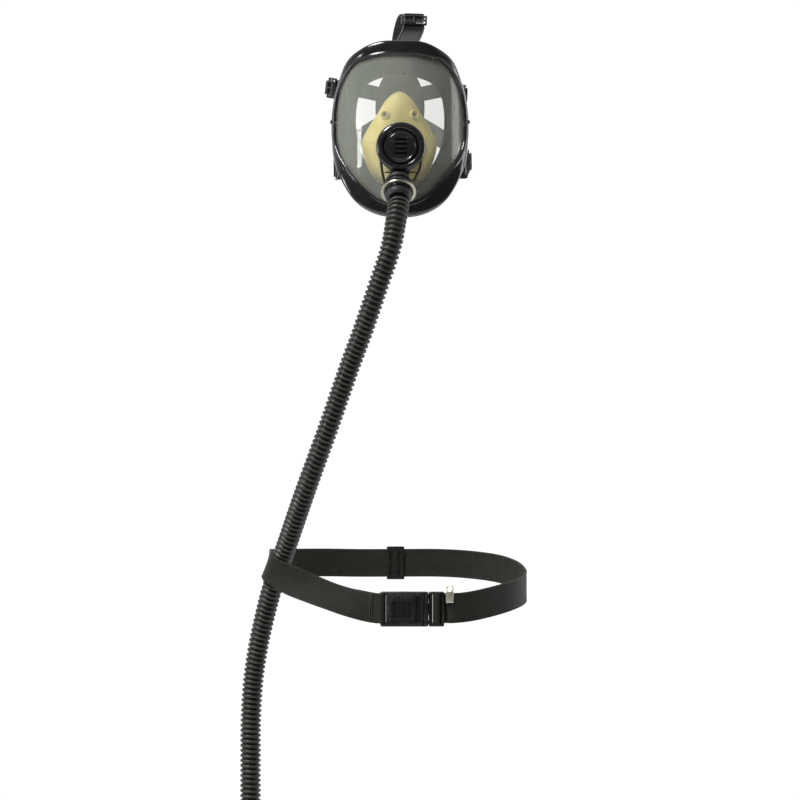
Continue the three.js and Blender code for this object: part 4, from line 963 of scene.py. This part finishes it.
RIGHTWARD = Vector((1, 0, 0))
neck_depth = FLANGE_BACK - FLANGE_DEPTH / 2
rounded_bar(
    bm,
    [Vector((UNIT.x, neck_depth, UNIT.z - 0.02)), Vector((-0.0005, neck_depth, -0.096)),
     Vector((INLET.x, neck_depth - 0.001, INLET.z + 0.0115))],
    (0.0135, 0.0115), (0.0055, 0.0065), RIGHTWARD, squareness=0.5,
)
for side in (-1, 1):
    rounded_bar(
        bm,
        [Vector((UNIT.x + side * 0.0255, neck_depth, UNIT.z - 0.0145)),
         Vector((UNIT.x + side * 0.0242, neck_depth, -0.09)),
         Vector((INLET.x + side * 0.0178, neck_depth - 0.001, -0.1085))],
        (0.0017, 0.0017), (0.0045, 0.004), RIGHTWARD, steps=14,
    )
    for z in (-0.0955, -0.1055):
        rounded_bar(
            bm,
            [Vector((UNIT.x + side * 0.009, neck_depth + 0.001, z)),
             Vector((UNIT.x + side * 0.0205, neck_depth + 0.001, z))],
            (0.0008, 0.0008), (0.003, 0.003), Vector((0, 0, 1)), steps=2,
        )
tidy_normals(bm)
housing = finished("front_housing", bm, ROOT, "unit_body")
housing.data.materials.append(black_plastic)
soften(housing, 0.0003)

BEZEL_FROM = FLANGE_DEPTH + FIT
BEZEL_IN_R = UNIT_BORE_R + 0.0012
bezel = turned(
    "front_bezel",
    [
        (BEZEL_IN_R, BEZEL_FROM), (UNIT_R, BEZEL_FROM), (UNIT_R + 0.0004, BEZEL_FROM + 0.002),
        (UNIT_R + 0.0002, BEZEL_FROM + 0.0042), (UNIT_R - 0.001, BEZEL_FROM + 0.0062),
        (UNIT_R - 0.003, BEZEL_FROM + 0.0076), (UNIT_R - 0.0052, BEZEL_FROM + 0.008),
        (UNIT_R - 0.0072, BEZEL_FROM + 0.0074), (BEZEL_IN_R + 0.0008, BEZEL_FROM + 0.0064),
        (BEZEL_IN_R, BEZEL_FROM + 0.005),
    ],
    Vector((UNIT.x, FLANGE_BACK, UNIT.z)), FORWARD, ROOT, "unit_bezel", material=gloss_black, steps=128, sharp=60,
)

# The cover is domed, with a stepped edge and four breathing slots sunk in its face.
COVER_R = UNIT_BORE_R + 0.0012 - 0.0005
COVER_FROM = FLANGE_DEPTH + 0.0015
cover = turned(
    "valve_cover",
    [
        (COVER_R - 0.0025, COVER_FROM), (COVER_R, COVER_FROM), (COVER_R, COVER_FROM + 0.006),
        (COVER_R - 0.0012, COVER_FROM + 0.0078), (COVER_R - 0.003, COVER_FROM + 0.0084),
        (COVER_R - 0.0036, COVER_FROM + 0.008), (COVER_R - 0.0042, COVER_FROM + 0.0084),
        (0.008, COVER_FROM + 0.0092), (0.00001, COVER_FROM + 0.0095), (0.00001, COVER_FROM + 0.0073),
        (COVER_R - 0.0035, COVER_FROM + 0.0063), (COVER_R - 0.0025, COVER_FROM + 0.005),
    ],
    Vector((UNIT.x, FLANGE_BACK, UNIT.z)), FORWARD, "cover", "front_cover", material=gloss_black, steps=96, sharp=50,
)
cutters = []
for row in (-0.009, -0.003, 0.003, 0.009):
    bm = bmesh.new()
    bmesh.ops.create_cube(bm, size=1, matrix=Matrix.Translation((UNIT.x, FLANGE_BACK - 0.0195, UNIT.z + row))
                          @ Matrix.Diagonal((0.016, 0.012, 0.0022, 1)))
    bmesh.ops.bevel(bm, geom=[e for e in bm.edges if abs((e.verts[0].co - e.verts[1].co).y) > 0.001],
                    offset=0.001, segments=4, profile=0.5, affect="EDGES", material=-1)
    cutters.append(bm)
cut_by(cover, *cutters)
soften(cover, 0.0002)

valve_rubber = moulded(
    "valve_rubber", (0.014, 0.014, 0.014), (0.024, 0.024, 0.024), (0.35, 0.5), 1200, 0.0001,
)
for name in ("exhale_valve_disc", "inlet_valve_disc", "cup_valve_disc_left", "cup_valve_disc_right", "unit_retainer"):
    part = nodes[name]
    part.data.materials.clear()
    part.data.materials.append(black_plastic if name == "unit_retainer" else valve_rubber)
    weld = part.modifiers.new("weld", "WELD")
    weld.merge_threshold = 1e-6
    soften(part, 0.0003)
    part.data.shade_smooth()

# ---- waist belt ----
# Woven polyester webbing, 38 mm wide, with firm selvages. It lies on the waist and runs over the
# hose at the right hip. Its ends fold back through the buckle, and a moulded sleeve with windows joins it behind.
WEBBING_WIDTH = 0.038
WEBBING_THICKNESS = 0.0022
WAIST_HALF_WIDTH = 0.165
WAIST_FRONT = -0.12
WAIST_BACK = 0.112
BUCKLE_LEFT = -0.025
SOCKET_LENGTH = 0.061
PLUG_LENGTH = 0.02
BUCKLE_Z = -0.649
SOCKET_RIGHT = BUCKLE_LEFT + SOCKET_LENGTH
BUCKLE_RIGHT = SOCKET_RIGHT + PLUG_LENGTH
LEAD_IN = 0.008
SEAM_X = -0.006
BELT_BACK_Z = -0.606


def lean_up(degrees):
    return Vector((0, math.sin(math.radians(degrees)), math.cos(math.radians(degrees))))


def waist(x, y, z, lean):
    """A stop on the waist, by shares of its half width and of its depth from the front."""
    return Vector((x * WAIST_HALF_WIDTH, WAIST_FRONT + y * (WAIST_BACK - WAIST_FRONT), z)), lean_up(lean)


def in_front(share, y, z, lean):
    """A stop in front, by its share of the way from the buckle to the side of the waist."""
    start = BUCKLE_RIGHT + LEAD_IN if share > 0 else BUCKLE_LEFT - LEAD_IN
    side = math.copysign(WAIST_HALF_WIDTH, share)
    return waist((start + (side - start) * abs(share)) / WAIST_HALF_WIDTH, y, z, lean)


def hose_at_height(z):
    return next(route_point(HOSE_ROUTE, i / 400) for i in range(400) if route_point(HOSE_ROUTE, i / 400).z < z)


BELT_OVER_HOSE = -0.6
above, under, below = [hose_at_height(BELT_OVER_HOSE + k * WEBBING_WIDTH / 2) for k in (1, 0, -1)]
belt_reach = HOSE_R + ((above + below) / 2 - under).length + 0.00075 + WEBBING_THICKNESS / 2
hose_up = (above - below).normalized()
hose_front = (FORWARD - hose_up * hose_up.dot(FORWARD)).normalized()
hose_outer = hose_front.cross(hose_up)


def over_hose(degrees):
    a = math.radians(degrees)
    return under + hose_front * (belt_reach * math.cos(a)) + hose_outer * (belt_reach * math.sin(a)), hose_up


off_hose = (
    Vector((under.x - belt_reach + (below.x - above.x) / 2 + 0.0097, under.y + 0.034, -0.597)), lean_up(-8),
)


def at_buckle(x, y):
    """A stop of the webbing where it folds through the buckle, from the buckle's middle plane."""
    return Vector((x, WAIST_FRONT + y, BUCKLE_Z + 0.001)), UP


def tucked(stop):
    """The same stop one webbing thickness nearer the body, for the loose end behind the belt."""
    return stop[0] + Vector((0, 0.0024, 0)), stop[1]


BELT_RIGHT = [
    tucked(in_front(-0.225, 0.018, -0.6415, 24)), tucked(in_front(-0.05, 0.004, -0.6465, 8)),
    at_buckle(-0.0305, 0.0036), at_buckle(-0.0245, 0.0042), at_buckle(-0.0203, 0.0034),
    at_buckle(-0.0188, 0), at_buckle(-0.0203, -0.0034), at_buckle(-0.0245, -0.0042),
    at_buckle(-0.0295, -0.0022),
    in_front(-0.05, 0.004, -0.6465, 8), in_front(-0.225, 0.018, -0.6415, 24), in_front(-0.425, 0.044, -0.6335, 30),
    in_front(-0.625, 0.078, -0.624, 24), in_front(-0.825, 0.114, -0.6135, 4),
    over_hose(22), over_hose(46), over_hose(70), over_hose(94), off_hose,
    waist(-1, 0.52, -0.599, 0), waist(-0.94, 0.74, -0.602, 0), waist(-0.8, 0.89, -0.604, 0),
    waist(-0.58, 0.965, -0.605, 0), waist(-0.34, 0.993, -0.606, 0),
    (Vector((SEAM_X - 0.0002, WAIST_BACK, BELT_BACK_Z)), UP),
]
BELT_LEFT = [
    (Vector((SEAM_X + 0.0002, WAIST_BACK, BELT_BACK_Z)), UP),
    waist(0.34, 0.993, -0.606, 0), waist(0.58, 0.965, -0.608, 0), waist(0.8, 0.89, -0.612, 0),
    waist(0.94, 0.74, -0.618, 0), waist(1, 0.54, -0.625, 0), waist(0.985, 0.36, -0.63, 0),
    in_front(0.82, 0.2, -0.6345, 0), in_front(0.575, 0.094, -0.64, 0), in_front(0.28, 0.024, -0.6455, 0),
    in_front(0.1, 0.003, -0.6475, 0),
    at_buckle(BUCKLE_RIGHT + LEAD_IN, 0), at_buckle(0.0575, 0.0026), at_buckle(0.054, 0.0032),
    at_buckle(0.0513, 0.0008), at_buckle(0.0496, -0.003), at_buckle(0.0464, -0.0042),
    at_buckle(0.0438, -0.003), at_buckle(0.0424, 0.001), at_buckle(0.0438, 0.0052),
    at_buckle(0.05, 0.006), at_buckle(0.0575, 0.0054),
    tucked(at_buckle(BUCKLE_RIGHT + LEAD_IN, 0)), tucked(in_front(0.1, 0.003, -0.6475, 0)),
]
WEBBING_SHAPE = [
    (-0.5, -0.25), (-0.497, 0.25), (-0.485, 0.5), (-0.46, 0.47), (-0.43, 0.34), (-0.2, 0.36), (0, 0.36),
    (0.2, 0.36), (0.43, 0.34), (0.46, 0.47), (0.485, 0.5), (0.497, 0.25), (0.5, -0.25), (0.485, -0.5),
    (0.43, -0.36), (0, -0.36), (-0.43, -0.36), (-0.485, -0.5),
]


def webbing_material():
    """Webbing in a plain weave of flat yarns, with painted shade in the gaps between them, and paler firm selvages.
    """
    material, tree, shader = new_material("webbing", Sheen_Weight=0.06, Sheen_Roughness=0.5, Specular_IOR_Level=0.25)
    shader.inputs["Sheen Tint"].default_value = (0.6, 0.62, 0.52, 1)
    place = add_node(tree, "UVMap", uv_map="weave").outputs[0]
    axes = add_node(tree, "SeparateXYZ", {0: place})
    ridges = []
    for axis, pitch in ((0, 0.0011), (1, 0.0016)):
        turns = add_node(tree, "Math", {0: axes.outputs[axis], 1: math.tau / pitch}, operation="MULTIPLY")
        ridges.append(add_node(tree, "Math", {0: turns.outputs[0]}, operation="SINE").outputs[0])
    both = add_node(tree, "Math", {0: ridges[0], 1: ridges[1]}, operation="MULTIPLY").outputs[0]
    height = add_node(tree, "Math", {0: both, 1: ridges[1], 2: 0.5}, operation="MULTIPLY_ADD").outputs[0]
    yarns = spread(tree, height, 0, 1, -1, 1)
    fuzz = spread(tree, object_noise(tree, 120, 5), 0.75, 1.15)
    # Colour follows the weave's height: the low gaps between the yarns are darkened as painted shade.
    colour = mix_colours(tree, yarns, (0.005, 0.0049, 0.0037, 1), (0.018, 0.0175, 0.013, 1))
    edge = add_node(tree, "Math", {0: axes.outputs[1]}, operation="ABSOLUTE").outputs[0]
    selvage = spread(tree, edge, 0, 1, 0.0165, 0.0176)
    edged = add_node(tree, "Mix", {"Factor": selvage}, data_type="RGBA")
    tree.links.new(colour, edged.inputs[6])
    edged.inputs[7].default_value = (0.026, 0.0255, 0.019, 1)
    tone = add_node(tree, "HueSaturation", {"Value": fuzz, "Color": edged.outputs[2]}).outputs[0]
    tree.links.new(tone, shader.inputs["Base Color"])
    tree.links.new(spread(tree, yarns, 0.7, 0.55), shader.inputs["Roughness"])
    bump = add_node(tree, "Bump", {"Height": yarns, "Distance": 0.0004, "Strength": 0.8})
    tree.links.new(bump.outputs["Normal"], shader.inputs["Normal"])
    return material


weave = webbing_material()


def woven(name, stops, *replaced, count=220, shape=WEBBING_SHAPE, thickness=WEBBING_THICKNESS):
    """Webbing along its stops, each a middle point and the direction up its width, with its weave's map."""
    middles = [stop[0] for stop in stops]
    leans = [stop[1] for stop in stops]
    bm = bmesh.new()
    rows, run, last = [], [], None
    length = 0.0
    for i in range(count + 1):
        here = route_point(middles, i / count)
        length += (here - last).length if last else 0
        last = here
        way = (route_point(middles, min((i + 0.5) / count, 1)) - route_point(middles, max((i - 0.5) / count, 0)))
        way.normalize()
        wide = route_point(leans, i / count)
        wide = (wide - way * wide.dot(way)).normalized()
        out = way.cross(wide)
        rows.append([here + wide * (w * WEBBING_WIDTH) + out * (t * thickness) for w, t in shape])
        run.append(length)
    skin(bm, rows)
    places = {}
    for along_it, row in zip(run, rows):
        for (w, t), p in zip(shape, row):
            places[tuple(round(c, 6) for c in p)] = (along_it, w * WEBBING_WIDTH)
    layer = bm.loops.layers.uv.new("weave")
    for face in bm.faces:
        for loop in face.loops:
            loop[layer].uv = places.get(tuple(round(c, 6) for c in loop.vert.co), (0, 0))
    bmesh.ops.recalc_face_normals(bm, faces=bm.faces)
    made = finished(name, bm, ROOT, *replaced, sharp=60)
    made.data.materials.append(weave)
    return made


woven("waist_webbing_right", BELT_RIGHT, "belt_webbing_right")
woven("waist_webbing_left", BELT_LEFT, "belt_webbing_left")

buckle_plastic = moulded(
    "buckle_plastic", (0.004, 0.004, 0.004), (0.008, 0.008, 0.0075), (0.28, 0.42), 900, 0.00015,
    worn=(0.06, 0.06, 0.055), Specular_IOR_Level=0.35,
)
for name in ("buckle_prong_upper", "buckle_prong_lower"):
    part = nodes[name]
    part.data.materials.clear()
    part.data.materials.append(buckle_plastic)
    weld = part.modifiers.new("weld", "WELD")
    weld.merge_threshold = 1e-6
    soften(part, 0.0006, segments=3)
    part.data.shade_smooth()

# ---- buckle ----
# A side-release buckle of moulded plastic. The socket has a fixed bar for the webbing, a dished
# face with grip ribs and side windows for the prongs; the plug has a ladder of bars.
BUCKLE_HALF = 0.022
SLOT_Z = (-0.0183, 0.0203)


def block(x, y, z, edge=0.0, shear=0.0):
    """A block between two places along each axis, from the buckle's middle, with rounded edges."""
    bm = bmesh.new()
    size = [high - low for low, high in (x, y, z)]
    middle = [(low + high) / 2 for low, high in (x, y, z)]
    bmesh.ops.create_cube(bm, size=1, matrix=Matrix.Translation(middle) @ Matrix.Diagonal((*size, 1)))
    for vert in bm.verts:
        vert.co.x += shear * vert.co.z
    if edge:
        bmesh.ops.bevel(bm, geom=bm.edges[:], offset=edge, segments=4, profile=0.5, affect="EDGES", material=-1)
    bmesh.ops.translate(bm, vec=(0, WAIST_FRONT, BUCKLE_Z), verts=bm.verts)
    return bm


DEEP = (-0.02, 0.02)
socket = finished("belt_buckle_socket", block(
    (BUCKLE_LEFT, SOCKET_RIGHT), (-0.006, 0.006), (-BUCKLE_HALF, BUCKLE_HALF), 0.0022,
), ROOT, "buckle_socket")
cut_by(
    socket,
    block((BUCKLE_LEFT + 0.004, -0.0178), DEEP, SLOT_Z, 0.0008),
    block((-0.04, -0.0176), (-0.02, -0.0026), SLOT_Z, 0.0006),
    block((-0.04, -0.0176), (0.0026, 0.02), SLOT_Z, 0.0006),
    block((-0.009, 0.05), (-0.004, 0.004), (-0.019, 0.019)),
    block((-0.001, 0.013), (-0.004, 0.004), (-0.04, 0.04)),
    block((-0.0095, 0.0155), (-0.02, -0.0052), (-0.0125, 0.0125), 0.0015),
    block((0.0195, 0.0265), (-0.02, -0.0042), (-0.017, 0.017), 0.001, shear=0.03),
    block((0.0292, 0.031), (-0.02, -0.0048), (-0.024, 0.024), shear=0.04),
)
for x in (-0.006, -0.002, 0.002, 0.006, 0.010):
    cut_by(socket, block((x, x + 0.0012), (-0.02, -0.0047), (-0.010, 0.010), 0.0004))
socket.data.materials.append(buckle_plastic)
lip = finished("socket_mouth_lip", block(
    (0.0318, 0.0358), (-0.0068, -0.005), (-0.0195, 0.0195), 0.0008, shear=0.03,
), ROOT)
lip.data.materials.append(buckle_plastic)
soften(socket, 0.0004, segments=2)

plug_from = SOCKET_RIGHT + FIT
plug = finished("belt_buckle_plug", block(
    (plug_from, BUCKLE_RIGHT), (-0.0045, 0.0045), (-BUCKLE_HALF, BUCKLE_HALF), 0.0018,
), ROOT, "buckle_plug")
cut_by(
    plug,
    *[block(slot, DEEP, SLOT_Z, 0.0006) for slot in ((0.0412, 0.045), (0.0484, 0.0526))],
    *[block((0.0405, 0.06), side, SLOT_Z) for side in ((-0.02, -0.0022), (0.0022, 0.02))],
)
plug.data.materials.append(buckle_plastic)
soften(plug, 0.0004, segments=2)
for row, (low_z, high_z) in enumerate(((-0.0187, -0.0146), (-0.0074, 0.0074), (0.0146, 0.0187))):
    shoulder = finished(f"plug_shoulder_{row}", block(
        (SOCKET_RIGHT - 0.003, plug_from + 0.001), (-0.0036, 0.0036), (low_z, high_z), 0.0003), ROOT)
    shoulder.data.materials.append(buckle_plastic)
tongue = finished("plug_tongue", block((-0.003, plug_from), (-0.0016, 0.0016), (-0.004, 0.004), 0.0008), ROOT)
tongue.data.materials.append(buckle_plastic)

# The slide behind the waist is a moulded sleeve over the seam, with two windows on each face.
def at_back(x, y, z, edge=0.0):
    """A block between two places along each axis, from the middle of the slide."""
    bm = block([SEAM_X + place for place in x], y, z, edge)
    bmesh.ops.translate(bm, vec=(0, WAIST_BACK - WAIST_FRONT, BELT_BACK_Z - BUCKLE_Z), verts=bm.verts)
    return bm


SLEEVE_HALF = 0.0194
slide = finished("belt_back_slide", at_back(
    (-0.012, 0.012), (-0.003, 0.0038), (-SLEEVE_HALF - 0.003, SLEEVE_HALF + 0.003), 0.0012,
), ROOT, "belt_adjuster")
windows = [
    at_back((x - 0.0025, x + 0.0025), face, (-reach, reach), 0.0005)
    for x in (-0.0055, 0.0055)
    for face, reach in (((0.0005, 0.02), SLEEVE_HALF - 0.001), ((-0.02, -0.0005), SLEEVE_HALF - 0.003))
]
cut_by(slide, at_back((-0.03, 0.03), (-0.0014, 0.0014), (-SLEEVE_HALF, SLEEVE_HALF)), *windows)
slide.data.materials.append(buckle_plastic)
soften(slide, 0.0003)

# A folded bright steel clip with a ring holds the loose end against the belt's top edge.
bright = moulded(
    "clip_steel", (0.72, 0.7, 0.56), (0.9, 0.88, 0.76), (0.3, 0.42), 600, 0.0001, Metallic=1.0,
)
CLIP_X = (0.058, 0.068)
CLIP_TOP = 0.0208
clip = finished("tail_clip", block(CLIP_X, (-0.0034, 0.0042), (0.008, CLIP_TOP + 0.0014), 0.0009), ROOT, "belt_tail_clip")
cut_by(clip, block((0.05, 0.08), (-0.0022, 0.003), (0, CLIP_TOP)))
clip.data.materials.append(bright)
soften(clip, 0.0002)
ring_at = Vector(((CLIP_X[0] + CLIP_X[1]) / 2, WAIST_FRONT, BUCKLE_Z + CLIP_TOP + 0.0054))
ring = turned(
    "tail_clip_ring",
    [
        (0.0042 + 0.0012 * math.cos(a), 0.0012 * math.sin(a))
        for a in (math.tau * i / 12 for i in range(12))
    ],
    ring_at, Vector((-0.3, -1, 0.35)), ROOT, material=bright, steps=48, sharp=180,
)

# Rows of thread hold the folded end of the webbing.
thread, tree, shader = new_material("belt_thread", Roughness=0.7, Sheen_Weight=0.3)
shader.inputs["Base Color"].default_value = (0.035, 0.035, 0.028, 1)
bm = bmesh.new()
for x in (-0.0355, -0.0385):
    for stitch in range(15):
        z = BUCKLE_Z + 0.0018 + (stitch - 7) * 0.0024
        made = bmesh.ops.create_icosphere(
            bm, subdivisions=2, radius=1,
            matrix=Matrix.Translation((x, WAIST_FRONT - 0.0017, z)) @ Matrix.Diagonal((0.00035, 0.0009, 0.0009, 1)),
        )
stitches = finished("webbing_stitches", bm, ROOT)
stitches.data.materials.append(thread)

# ---- studio ----
# A pale floor where the wearer stands, soft boxes from the upper left, and a white surround that is
# bright behind the wearer and dim on the camera's side.
bpy.context.scene.view_settings.view_transform = "Standard"
FLOOR_Z = -1.65
bm = bmesh.new()
bmesh.ops.create_circle(bm, cap_ends=True, segments=96, radius=3, matrix=Matrix.Translation((0, 0, FLOOR_Z)))
mesh = bpy.data.meshes.new("floor")
bm.to_mesh(mesh)
bm.free()
floor = bpy.data.objects.new("floor", mesh)
bpy.context.scene.collection.objects.link(floor)
pale, tree, shader = new_material("pale_floor", Roughness=0.7)
shader.inputs["Base Color"].default_value = (0.85, 0.85, 0.85, 1)
mesh.materials.append(pale)


def soft_box(name, at, towards, size, power):
    light = bpy.data.lights.new(name, "AREA")
    light.shape = "RECTANGLE"
    light.size, light.size_y = size
    light.energy = power
    lamp = bpy.data.objects.new(name, light)
    lamp.location = at
    lamp.rotation_euler = (Vector(towards) - Vector(at)).to_track_quat("-Z", "Y").to_euler()
    bpy.context.scene.collection.objects.link(lamp)


soft_box("glint_left", (-2.0, -0.8, -0.08), (0, 0, -0.1), (0.3, 0.6), 10)
soft_box("edge_right", (2.1, 0.45, -0.05), (0, 0, -0.1), (0.7, 1.6), 12)
soft_box("key_left", (-2.0, -1.8, 2.9), (0, 0, -0.2), (1.2, 1.0), 195)

world = bpy.data.worlds.new("white_surround")
bpy.context.scene.world = world
world.use_nodes = True
tree = world.node_tree
seen = tree.nodes.new("ShaderNodeLightPath")
lit = tree.nodes["Background"]
lit.inputs["Color"].default_value = (1, 1, 1, 1)
way_out = add_node(tree, "SeparateXYZ", {0: add_node(tree, "TexCoord").outputs["Generated"]})
behind = add_node(tree, "MapRange", {
    "Value": way_out.outputs["Y"], "From Min": -0.3, "From Max": 0.9, "To Min": 0.12, "To Max": 1.1,
})
tree.links.new(behind.outputs["Result"], lit.inputs["Strength"])
backdrop = tree.nodes.new("ShaderNodeBackground")
backdrop.inputs["Color"].default_value = (1, 1, 1, 1)
backdrop.inputs["Strength"].default_value = 1.05
both = tree.nodes.new("ShaderNodeMixShader")
tree.links.new(seen.outputs["Is Camera Ray"], both.inputs[0])
tree.links.new(lit.outputs[0], both.inputs[1])
tree.links.new(backdrop.outputs[0], both.inputs[2])
tree.links.new(both.outputs[0], tree.nodes["World Output"].inputs["Surface"])
